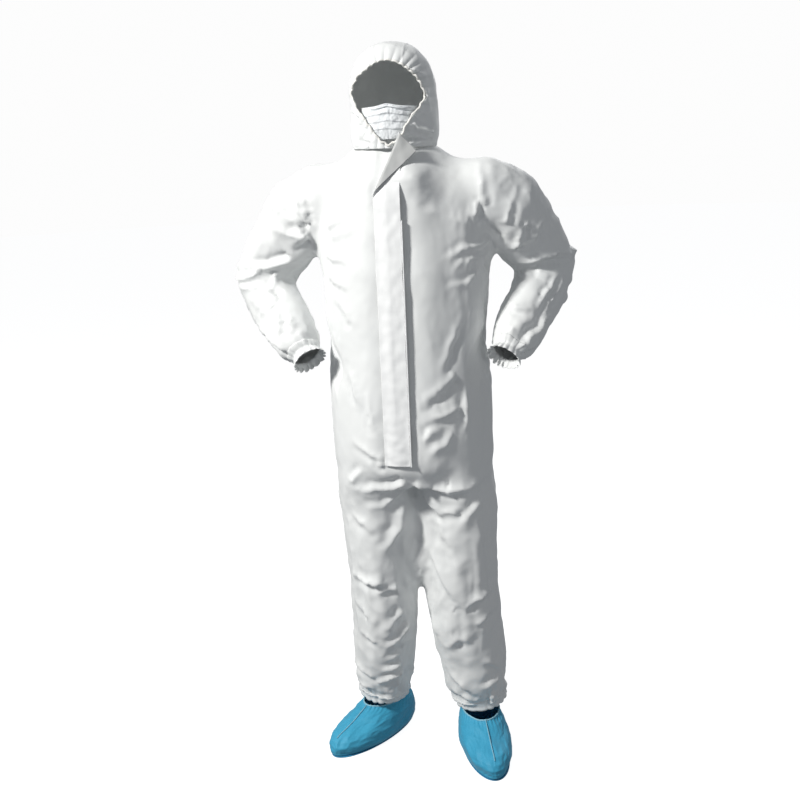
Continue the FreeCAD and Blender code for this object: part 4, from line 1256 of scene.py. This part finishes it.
def make_hood():
    """The hood, open at the face and at the neck."""
    hood = skin("hood_cloth", [hood_row((row / HOOD_ROWS) ** 1.35) for row in range(HOOD_ROWS + 1)])
    pick(hood)
    bpy.ops.object.mode_set(mode="EDIT")
    bpy.ops.mesh.select_all(action="SELECT")
    bpy.ops.mesh.remove_doubles(threshold=0.0003)
    bpy.ops.mesh.select_all(action="SELECT")
    bpy.ops.mesh.bisect(plane_co=(0, 0, HOOD_END), plane_no=(0, 0, -1), clear_outer=True)
    bpy.ops.mesh.select_all(action="SELECT")
    bpy.ops.mesh.normals_make_consistent(inside=False)
    bpy.ops.object.mode_set(mode="OBJECT")
    surface = Surface(hood)
    spot = Vector((HOOD_MID.x, 0, HOOD_MID.z))
    for corners, width, height, fade in HOOD_CREASES:
        line = [(spot.x + x * CM, spot.z + z * CM) for x, z in corners]
        surface.crease(line, width * MM, height * MM, -1, fade)
    surface.press()
    smooth(hood)
    modify(hood, "SOLIDIFY", thickness=0.0008, offset=-1)
    return hood


# from the hood's middle, in centimetres to the wearer's left and up
HOOD_CREASES = [
    ([(-9.2, -6.4), (-6.4, -8.6), (-4.6, -10.0)], 6, -6, 0),
    ([(-8.6, -10.6), (-5.0, -11.4)], 5, -5, 0),
    ([(-9.6, -4.0), (-7.2, -5.6)], 5, 5, 0),
    ([(4.6, -6.6), (9.0, -8.8), (10.8, -9.6)], 6, 8, -1),
    ([(3.8, -10.6), (9.4, -11.4)], 5, -6, 0),
    ([(4.6, -4.4), (7.6, -5.0)], 5, 5, 0),
    ([(6.4, -2.4), (9.6, -1.2)], 6, 5, 0),
    ([(5.0, 5.4), (9.4, 3.2)], 7, 5, 0),
    ([(9.0, 1.0), (10.0, -5.0)], 9, 5, 0),
]


def edge_cord(name, points, radius, closed=True):
    """A round cord through points: a piped edge, an elastic or a loop."""
    curve = bpy.data.curves.new(name, "CURVE")
    curve.dimensions = "3D"
    curve.bevel_depth = radius
    curve.bevel_resolution = 3
    curve.use_fill_caps = not closed
    line = curve.splines.new("POLY")
    line.points.add(len(points) - 1)
    for spot, point in zip(line.points, points):
        spot.co = (*point, 1)
    line.use_cyclic_u = closed
    piece = bpy.data.objects.new(name, curve)
    bpy.context.scene.collection.objects.link(piece)
    pick(piece)
    bpy.ops.object.convert(target="MESH")
    return smooth(named(bpy.context.object, name))


hood = make_hood()
edge_line = [point + Vector((0, -0.0012, 0)) for point in hood_row(0.0)]
hood_edge = edge_cord("hood_edge", [point for point in edge_line if point.z > HOOD_END - 0.002], 0.0026)


# %% [markdown]
# ## The storm flap
#
# The flap is a flat strip sewn down one side of the zipper. Its top corner is folded open, which the sheet
# shows as a bent strip: the cloth beyond a slanting fold line rolls over a small radius and lies back on
# the rest, showing its inner face. That inner face is the same white cloth; its grey is painted shade.

# %% Flap
FLAP_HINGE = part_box("storm_flap")[1].x
FLAP_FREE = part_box("storm_flap")[0].x
FLAP_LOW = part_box("storm_flap")[0].z
FLAP_TOP = 1.592
FOLD_START = Vector((FLAP_FREE + 0.004, 1.452))
FOLD_END = Vector((0.043, 1.606))
FOLD_RADIUS = 4.5 * MM
FLAP_COLUMNS, FLAP_ROWS = 44, 420


def flap_depth(x):
    """How far in front of the cloth the flap lies: most over the zipper, least at its free edge."""
    part = (x - FLAP_FREE) / (FLAP_HINGE - FLAP_FREE)
    return (2.2 + 7.6 * ramp(part, -0.05, 0.52)) * MM


def flap_point(x, z):
    """A point of the flat flap, folded and laid on the front."""
    fold = (FOLD_END - FOLD_START).normalized()
    away = Vector((-fold.y, fold.x))
    flat = Vector((x, z))
    beyond = (flat - FOLD_START).dot(away)
    lifted = 0.0
    if beyond > 0:
        turn = min(beyond / FOLD_RADIUS, math.pi)
        rest = max(0.0, beyond - math.pi * FOLD_RADIUS)
        flat = flat - away * beyond + away * (FOLD_RADIUS * math.sin(turn)) - away * rest
        lifted = FOLD_RADIUS * (1 - math.cos(turn)) - rest * 0.26
    x, z = flat
    over = ramp(z, 1.43, 1.585)
    y = front_plane(min(z, 1.50)) - flap_depth(min(x, FLAP_HINGE)) - lifted
    y += 0.050 * over ** 1.3
    y -= 0.0016 * noise.noise(Vector((x * 30, z * 14, 3))) + 0.001 * noise.noise(Vector((x * 60, z * 45, 8)))
    y -= 0.0022 * ramp(-z, -0.95, -0.84) * noise.noise(Vector((x * 55, z * 60, 1)))
    return Vector((x + 0.0012 * noise.noise(Vector((1, 2, z * 16))), y, z))


def make_flap():
    """The folded flap, as thin cloth."""
    rows = []
    for row in range(FLAP_ROWS + 1):
        z = FLAP_LOW + (FLAP_TOP - FLAP_LOW) * row / FLAP_ROWS
        rows.append([flap_point(FLAP_FREE + (FLAP_HINGE - FLAP_FREE) * column / FLAP_COLUMNS, z)
                     for column in range(FLAP_COLUMNS + 1)])
    piece = skin("flap_cloth", rows, around=False)
    smooth(piece)
    modify(piece, "SOLIDIFY", thickness=0.0005, offset=0)
    return piece


def show_inner_face(piece):
    """Gives the folded-back corner the second material, whose grey is painted shade."""
    fold = (FOLD_END - FOLD_START).normalized()
    away = Vector((-fold.y, fold.x))
    for row in range(FLAP_ROWS):
        for column in range(FLAP_COLUMNS):
            flat = Vector((FLAP_FREE + (FLAP_HINGE - FLAP_FREE) * column / FLAP_COLUMNS,
                           FLAP_LOW + (FLAP_TOP - FLAP_LOW) * row / FLAP_ROWS))
            if (flat - FOLD_START).dot(away) > 1.9 * FOLD_RADIUS:
                # the corner beyond the fold gets the grey material: painted shade on the same white cloth
                piece.data.polygons[row * FLAP_COLUMNS + column].material_index = 1


def make_adhesive():
    """The strip of adhesive tape inside the flap's free edge."""
    low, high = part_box("adhesive_tape")
    rows = []
    for row in range(121):
        z = low.z + (high.z - low.z) * row / 120
        rows.append([flap_point(low.x + (high.x - low.x) * column / 6, z) + Vector((0, 0.0006, 0))
                     for column in range(7)])
    piece = skin("adhesive_cloth", rows, around=False)
    smooth(piece)
    modify(piece, "SOLIDIFY", thickness=0.0003, offset=0)
    return piece


flap = make_flap()
adhesive = make_adhesive()


# %% [markdown]
# ## The face mask
#
# A pleated mask hangs inside the hood's opening: a flat top band with the nose wire, three pleats that step
# downwards, and welded side edges. Each ear loop is a thin cord that leaves the mask's corners.

# %% Mask
MASK_LOW, MASK_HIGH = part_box("mask_body")
MASK_MID = (MASK_LOW + MASK_HIGH) / 2
MASK_HALF = (MASK_HIGH.x - MASK_LOW.x) / 2
MASK_DEEP = MASK_HIGH.y - MASK_LOW.y
MASK_COLUMNS, MASK_ROWS = 120, 110
PLEATS = (0.30, 0.52, 0.74)


def mask_point(across, down, lift=0.0):
    """A point of the mask: across from -1 to 1, down from 0 at the top to 1 at the chin."""
    nose = math.exp(-(across / 0.28) ** 2)
    tall = MASK_HIGH.z - MASK_LOW.z
    z = MASK_HIGH.z - down * tall + (1 - down) * 0.004 * nose - 0.006 * down * (1 - across ** 2) - 0.004 * (1 - down) * abs(across)
    bulge = math.sin(min(1.0, down * 0.85 + 0.15) * math.pi) ** 0.6
    y = MASK_HIGH.y - MASK_DEEP * math.sqrt(max(0.0, 1 - (across * 0.985) ** 2)) * (0.86 + 0.14 * bulge)
    wide = MASK_HALF * (1 - 0.05 * down)
    step = 0.0
    for pleat in PLEATS:
        sag = pleat - 0.05 * (1 - across ** 2)
        step += 1.8 * MM * math.exp(-((down - sag) / 0.022) ** 2) if down > sag else 1.8 * MM * math.exp(-((down - sag) / 0.09) ** 2)
    peak = 0.20 - 0.10 * (1 - abs(across))
    step -= 2.2 * MM * math.exp(-((down - peak) / 0.02) ** 2) * (1 - across ** 4)
    side = Vector((across * wide, -1.2 * MASK_DEEP * math.sqrt(max(0.05, 1 - across ** 2)), 0)).normalized()
    wave = 0.0016 * noise.noise(Vector((across * 5, down * 6, 2))) + 0.0008 * noise.noise(Vector((across * 14, down * 14, 5)))
    point = Vector((MASK_MID.x + across * wide, y, z))
    return point + side * (step * (1 - 0.5 * across ** 6) + wave + lift)


def make_mask():
    """The mask's cloth."""
    rows = []
    for row in range(MASK_ROWS + 1):
        rows.append([mask_point(-1 + 2 * column / MASK_COLUMNS, row / MASK_ROWS) for column in range(MASK_COLUMNS + 1)])
    piece = skin("mask_cloth", rows, around=False)
    smooth(piece)
    modify(piece, "SOLIDIFY", thickness=0.0008, offset=0)
    return piece


def make_welds():
    """Rows of small round weld marks along both side edges and the top band."""
    marks = []
    for side in (-1, 1):
        for step in range(18):
            for inset in (0.045, 0.10):
                marks.append(mask_point(side * (1 - inset), (step + 0.5) / 18, 0.0006))
    for step in range(34):
        marks.append(mask_point(-0.86 + 1.72 * step / 33, 0.035, 0.0006))
    beads = []
    for place in marks:
        clear()
        bpy.ops.mesh.primitive_uv_sphere_add(segments=10, ring_count=6, radius=0.0008, location=place)
        beads.append(bpy.context.object)
    return smooth(settle(join(beads, "mask_welds")))


mask = make_mask()
mask_welds = make_welds()
wire_line = [mask_point(-0.6 + 1.2 * step / 40, 0.075, 0.0009) for step in range(41)]
mask_wire = edge_cord("mask_wire", wire_line, 0.0015, closed=False)
loops = []
for side_name, sign in SIDES.items():
    loop_low, loop_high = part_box(f"mask_{side_name}_ear_loop")
    top, bottom = mask_point(sign * 0.985, 0.06), mask_point(sign * 0.985, 0.93)
    middle_loop = Vector(((loop_low.x + loop_high.x) / 2, loop_high.y, (loop_low.z + loop_high.z) / 2))
    line = []
    for step in range(33):
        turn = math.pi * step / 32
        place = top.lerp(bottom, (1 - math.cos(turn)) / 2)
        reach = math.sin(turn) ** 0.7
        line.append(Vector((place.x + (middle_loop.x - place.x) * reach, place.y + (middle_loop.y - place.y) * reach, place.z)))
    loops.append(edge_cord(f"mask_{side_name}_loop", line, 0.0012, closed=False))


# %% [markdown]
# ## The overshoes
#
# An overshoe is a loose bag of thin cloth round the foot: a wide bulge above the sole, a long slope over the
# instep and an elastic mouth at the heel's end. It's built of ovals that climb and step back, then wrinkled
# along its length and gathered at the mouth.

# %% Overshoes
SHOE_COLUMNS = 240
# height, half length, half width and how far back, in millimetres
SHOE_SHAPE = [(1.5, 146, 54, 0), (6, 151, 60, 0), (16, 154, 65, 0), (28, 154, 66, 1), (40, 149, 65, 5),
              (50, 139, 63, 14), (60, 122, 61, 29), (68, 108, 58, 39), (76, 95, 55, 47), (83, 84, 52, 53),
              (88, 77, 50, 56), (91, 75, 49, 57)]


def foot_way(side):
    """The overshoe's middle, the direction to its toe and the direction across it."""
    sole = NODES[f"{side}_overshoe_sole"].data.vertices
    points = np.array([tuple(vertex.co) for vertex in sole])
    centre = (points.max(axis=0) + points.min(axis=0)) / 2
    flat = points[:, :2] - points[:, :2].mean(axis=0)
    values, ways = np.linalg.eigh(flat.T @ flat)
    toe = Vector((*ways[:, 1], 0)).normalized()
    if toe.y > 0:
        toe = -toe
    return Vector((centre[0], centre[1], 0)), toe, Vector((-toe.y, toe.x, 0))


FEET = {side: foot_way(side) for side in SIDES}


def shoe_shape(part):
    """The overshoe's oval part of the way up."""
    place = part * (len(SHOE_SHAPE) - 1)
    first = min(int(place), len(SHOE_SHAPE) - 2)
    blend = place - first
    return [low + (high - low) * blend for low, high in zip(SHOE_SHAPE[first], SHOE_SHAPE[first + 1])]


def shoe_point(side, part, angle, lift=0.0):
    """A point of an overshoe."""
    centre, toe, across = FEET[side]
    height, long, wide, back = shoe_shape(part)
    forward, sideways = math.cos(angle), math.sin(angle)
    narrow = 1.0 - 0.13 * max(0.0, forward) ** 2 * (1 if part < 0.6 else 0.5)
    point = centre + toe * (long * forward - back) * MM + across * (wide * sideways * narrow) * MM + UP * height * MM
    out = (toe * forward / long + across * sideways / wide).normalized() * (1 - 0.6 * part) + UP * part
    out.normalize()
    grain = Vector(((point - centre).dot(toe) * 9, (point - centre).dot(across) * 46, point.z * 40 + SIDES[side] * 5))
    ridge = 0.5 - abs(noise.noise(grain)) * 2.3
    fine = 0.5 - abs(noise.noise(grain * 2.3)) * 2.2
    loose = ramp(part, 0.02, 0.16)
    mouth = math.exp(-((1 - part) / 0.22) ** 2)
    swell = loose * (ridge * 2.6 + fine * 1.1 + 3.0 * noise.noise(grain * 0.4)) * (1 - 0.5 * mouth)
    swell += mouth * 2.0 * gather(angle, 34, 2 + SIDES[side]) * min(1.0, 0.25 + (1 - part) * 9)
    swell += loose * 1.6 * math.exp(-(angle_gap(angle) * long * (0.4 + 0.6 * part) / 2.6) ** 2) * ramp(part, 0.3, 0.45)
    return point + out * (swell * MM + lift)


def angle_gap(angle):
    """How far an angle is from straight ahead."""
    return abs((angle + math.pi) % math.tau - math.pi)


def make_overshoe(side):
    """The cloth, its elastic mouth and its front seam."""
    rows = []
    for row in range(67):
        rows.append([shoe_point(side, row / 66, column / SHOE_COLUMNS * math.tau) for column in range(SHOE_COLUMNS)])
    upper = face_out(skin(f"{side}_overshoe_cloth", rows))
    smooth(upper)
    modify(upper, "SOLIDIFY", thickness=0.0006, offset=-1)
    mouth = edge_cord(f"{side}_overshoe_mouth", rows[-1], 0.0021)
    seam = [shoe_point(side, 0.42 + 0.56 * step / 50, 0.0, 0.0012) for step in range(51)]
    return upper, mouth, edge_cord(f"{side}_overshoe_ridge", seam, 0.0012, closed=False)


overshoes = {side: make_overshoe(side) for side in SIDES}


# %% [markdown]
# ## Materials
#
# The coverall is a white film laminate: almost matt, with a faint sheen on its edges and a crackle of very
# fine creases that is too small to model, so it's bump. The flap and the zipper tapes are smoother and
# brighter. The overshoes are thin blue non-woven with lengthwise crinkles.

# %% Cloth materials
def new_material(name):
    """An empty material with its shader."""
    material = bpy.data.materials.new(name)
    material.use_nodes = True
    shader = material.node_tree.nodes["Principled BSDF"]
    return material, material.node_tree.nodes, material.node_tree.links, shader


def add_node(nodes, kind, **settings):
    """One node with its settings; a capitalised setting fills the input of that name."""
    node = nodes.new(kind)
    for key, value in settings.items():
        if key[0].isupper():
            node.inputs[key.replace("_", " ")].default_value = value
        else:
            setattr(node, key, value)
    return node


def cloth_material(name, colour, shade, roughness, crackle, grain, stretch=(1, 1, 1), shine=0.0, weave=900.0):
    """Cloth: two close colours in clouds, a crackle of creases and a fine grain."""
    material, nodes, links, shader = new_material(name)
    place = add_node(nodes, "ShaderNodeTexCoord")
    mapping = add_node(nodes, "ShaderNodeMapping", Scale=stretch)
    links.new(place.outputs["Object"], mapping.inputs["Vector"])
    clouds = add_node(nodes, "ShaderNodeTexNoise", Scale=7.0, Detail=4.0, Roughness=0.6)
    links.new(mapping.outputs["Vector"], clouds.inputs["Vector"])
    mix = add_node(nodes, "ShaderNodeMix", data_type="RGBA")
    mix.inputs["A"].default_value = (*colour, 1)
    mix.inputs["B"].default_value = (*shade, 1)
    for socket in mix.inputs:
        if socket.type == "RGBA":
            socket.default_value = (*(colour if socket.name == "A" else shade), 1)
    links.new(clouds.outputs["Fac"], mix.inputs["Factor"])
    colour_out = [socket for socket in mix.outputs if socket.type == "RGBA"][0]
    links.new(colour_out, shader.inputs["Base Color"])
    creases = add_node(nodes, "ShaderNodeTexNoise", Scale=30.0, Detail=5.0, Roughness=0.55)
    creases.noise_type = "RIDGED_MULTIFRACTAL"
    links.new(mapping.outputs["Vector"], creases.inputs["Vector"])
    fibres = add_node(nodes, "ShaderNodeTexNoise", Scale=weave, Detail=2.0)
    links.new(mapping.outputs["Vector"], fibres.inputs["Vector"])
    first = add_node(nodes, "ShaderNodeBump", Strength=crackle, Distance=0.0016)
    second = add_node(nodes, "ShaderNodeBump", Strength=grain, Distance=0.0003)
    links.new(creases.outputs["Fac"], first.inputs["Height"])
    links.new(fibres.outputs["Fac"], second.inputs["Height"])
    links.new(first.outputs["Normal"], second.inputs["Normal"])
    links.new(second.outputs["Normal"], shader.inputs["Normal"])
    shader.inputs["Roughness"].default_value = roughness
    shader.inputs["Sheen Weight"].default_value = shine
    shader.inputs["Sheen Roughness"].default_value = 0.5
    return material


def plastic_material(name, colour, roughness, metallic=0.0):
    """Moulded plastic or plated metal with faint wear in its roughness."""
    material, nodes, links, shader = new_material(name)
    place = add_node(nodes, "ShaderNodeTexCoord")
    wear = add_node(nodes, "ShaderNodeTexNoise", Scale=220.0, Detail=4.0)
    links.new(place.outputs["Object"], wear.inputs["Vector"])
    spread = add_node(nodes, "ShaderNodeMapRange")
    spread.inputs["To Min"].default_value = roughness - 0.08
    spread.inputs["To Max"].default_value = roughness + 0.12
    links.new(wear.outputs["Fac"], spread.inputs["Value"])
    links.new(spread.outputs["Result"], shader.inputs["Roughness"])
    bump = add_node(nodes, "ShaderNodeBump", Strength=0.15, Distance=0.0002)
    links.new(wear.outputs["Fac"], bump.inputs["Height"])
    links.new(bump.outputs["Normal"], shader.inputs["Normal"])
    shader.inputs["Base Color"].default_value = (*colour, 1)
    shader.inputs["Metallic"].default_value = metallic
    return material


LAMINATE = cloth_material("white_laminate", (0.80, 0.81, 0.80), (0.75, 0.77, 0.77), 0.62, 0.42, 0.25, shine=0.08)
FLAP_CLOTH = cloth_material("flap_laminate", (0.85, 0.86, 0.86), (0.82, 0.83, 0.83), 0.58, 0.20, 0.2, shine=0.08)
# the folded corner's grey is painted shade: that corner is the same white laminate, turned away from the light
FLAP_PAINTED_SHADE = cloth_material("flap_inner_face", (0.50, 0.51, 0.50), (0.44, 0.45, 0.45), 0.75, 0.30, 0.5)
ELASTIC = cloth_material("elastic_welt", (0.80, 0.79, 0.75), (0.74, 0.74, 0.71), 0.75, 0.25, 0.5, weave=500.0)
TAPE = cloth_material("zip_tape_weave", (0.82, 0.82, 0.82), (0.76, 0.76, 0.77), 0.8, 0.05, 0.8, weave=1400.0)
MASK_CLOTH = cloth_material("mask_nonwoven", (0.78, 0.80, 0.81), (0.72, 0.75, 0.77), 0.85, 0.22, 0.6, weave=1100.0)
BLUE = cloth_material("overshoe_nonwoven", (0.050, 0.40, 0.60), (0.025, 0.30, 0.50), 0.62, 0.75, 0.5, (1.0, 1.0, 1.0), 0.15, 800.0)
BLUE_EDGE = cloth_material("overshoe_elastic_blue", (0.30, 0.58, 0.68), (0.20, 0.46, 0.60), 0.7, 0.3, 0.5)
SOLE = cloth_material("overshoe_sole_film", (0.05, 0.30, 0.50), (0.03, 0.24, 0.42), 0.45, 0.5, 0.6)
STICKY = cloth_material("adhesive_strip", (0.74, 0.72, 0.62), (0.70, 0.68, 0.58), 0.32, 0.1, 0.2)
TEETH = plastic_material("zip_teeth_white", (0.80, 0.81, 0.82), 0.34)
METAL = plastic_material("zip_metal_painted", (0.66, 0.67, 0.68), 0.30, 0.9)


# %% Which material goes where
def dress(piece, material):
    """One material on a piece."""
    piece.data.materials.clear()
    piece.data.materials.append(material)
    return piece


for piece in list(cloth.values()) + [hood]:
    dress(piece, LAMINATE)
for end_name, piece in end_pieces.items():
    dress(piece, LAMINATE)
dress(hood_edge, ELASTIC)
# the flap's second material is painted shade for its folded-back corner
dress(flap, FLAP_CLOTH).data.materials.append(FLAP_PAINTED_SHADE)
show_inner_face(flap)
dress(adhesive, STICKY)
dress(mask, MASK_CLOTH)
dress(mask_welds, MASK_CLOTH)
dress(mask_wire, MASK_CLOTH)
for piece in loops:
    dress(piece, ELASTIC)
for upper, mouth, seam in overshoes.values():
    dress(upper, BLUE)
    dress(mouth, BLUE_EDGE)
    dress(seam, BLUE_EDGE)
CARRIED = {"right_zip_tape": TAPE, "left_zip_tape": TAPE, "right_zip_coil": TEETH, "left_zip_coil": TEETH,
           "zip_bottom_stop": METAL, "zip_slider": METAL, "pull_pin": METAL, "zip_pull": METAL, "flap_seam": FLAP_CLOTH,
           "flap_facing": FLAP_CLOTH, "right_overshoe_sole": SOLE, "left_overshoe_sole": SOLE}
for node_name, material in CARRIED.items():
    NODES[node_name].data.materials.clear()
    NODES[node_name].data.materials.append(material)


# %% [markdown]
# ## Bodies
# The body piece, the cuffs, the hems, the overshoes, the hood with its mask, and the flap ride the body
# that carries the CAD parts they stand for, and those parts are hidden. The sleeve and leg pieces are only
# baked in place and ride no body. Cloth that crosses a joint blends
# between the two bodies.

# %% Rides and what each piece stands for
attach(cloth["body"], "torso")
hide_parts("right_front_panel", "left_front_panel", "right_back_panel", "left_back_panel", "waist_elastic")
for side in SIDES:
    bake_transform(cloth[f"{side}_sleeve"])
    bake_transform(cloth[f"{side}_forearm"])
    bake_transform(cloth[f"{side}_thigh"])
    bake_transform(cloth[f"{side}_shin"])
    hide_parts(f"{side}_upper_sleeve", f"{side}_armhole_section")
    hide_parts(f"{side}_forearm_sleeve", f"{side}_elbow_section")
    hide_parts(f"{side}_thigh_leg", f"{side}_hip_section")
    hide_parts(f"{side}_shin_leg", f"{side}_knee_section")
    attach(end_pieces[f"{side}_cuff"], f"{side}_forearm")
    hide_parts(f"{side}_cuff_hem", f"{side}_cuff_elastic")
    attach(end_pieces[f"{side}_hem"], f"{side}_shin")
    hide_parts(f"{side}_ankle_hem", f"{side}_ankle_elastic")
    upper, mouth, seam = overshoes[side]
    for piece in (upper, mouth, seam):
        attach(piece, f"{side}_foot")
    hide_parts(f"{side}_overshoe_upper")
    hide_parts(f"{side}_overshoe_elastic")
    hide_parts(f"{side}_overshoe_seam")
for piece in (hood, hood_edge, mask, mask_welds, mask_wire, *loops):
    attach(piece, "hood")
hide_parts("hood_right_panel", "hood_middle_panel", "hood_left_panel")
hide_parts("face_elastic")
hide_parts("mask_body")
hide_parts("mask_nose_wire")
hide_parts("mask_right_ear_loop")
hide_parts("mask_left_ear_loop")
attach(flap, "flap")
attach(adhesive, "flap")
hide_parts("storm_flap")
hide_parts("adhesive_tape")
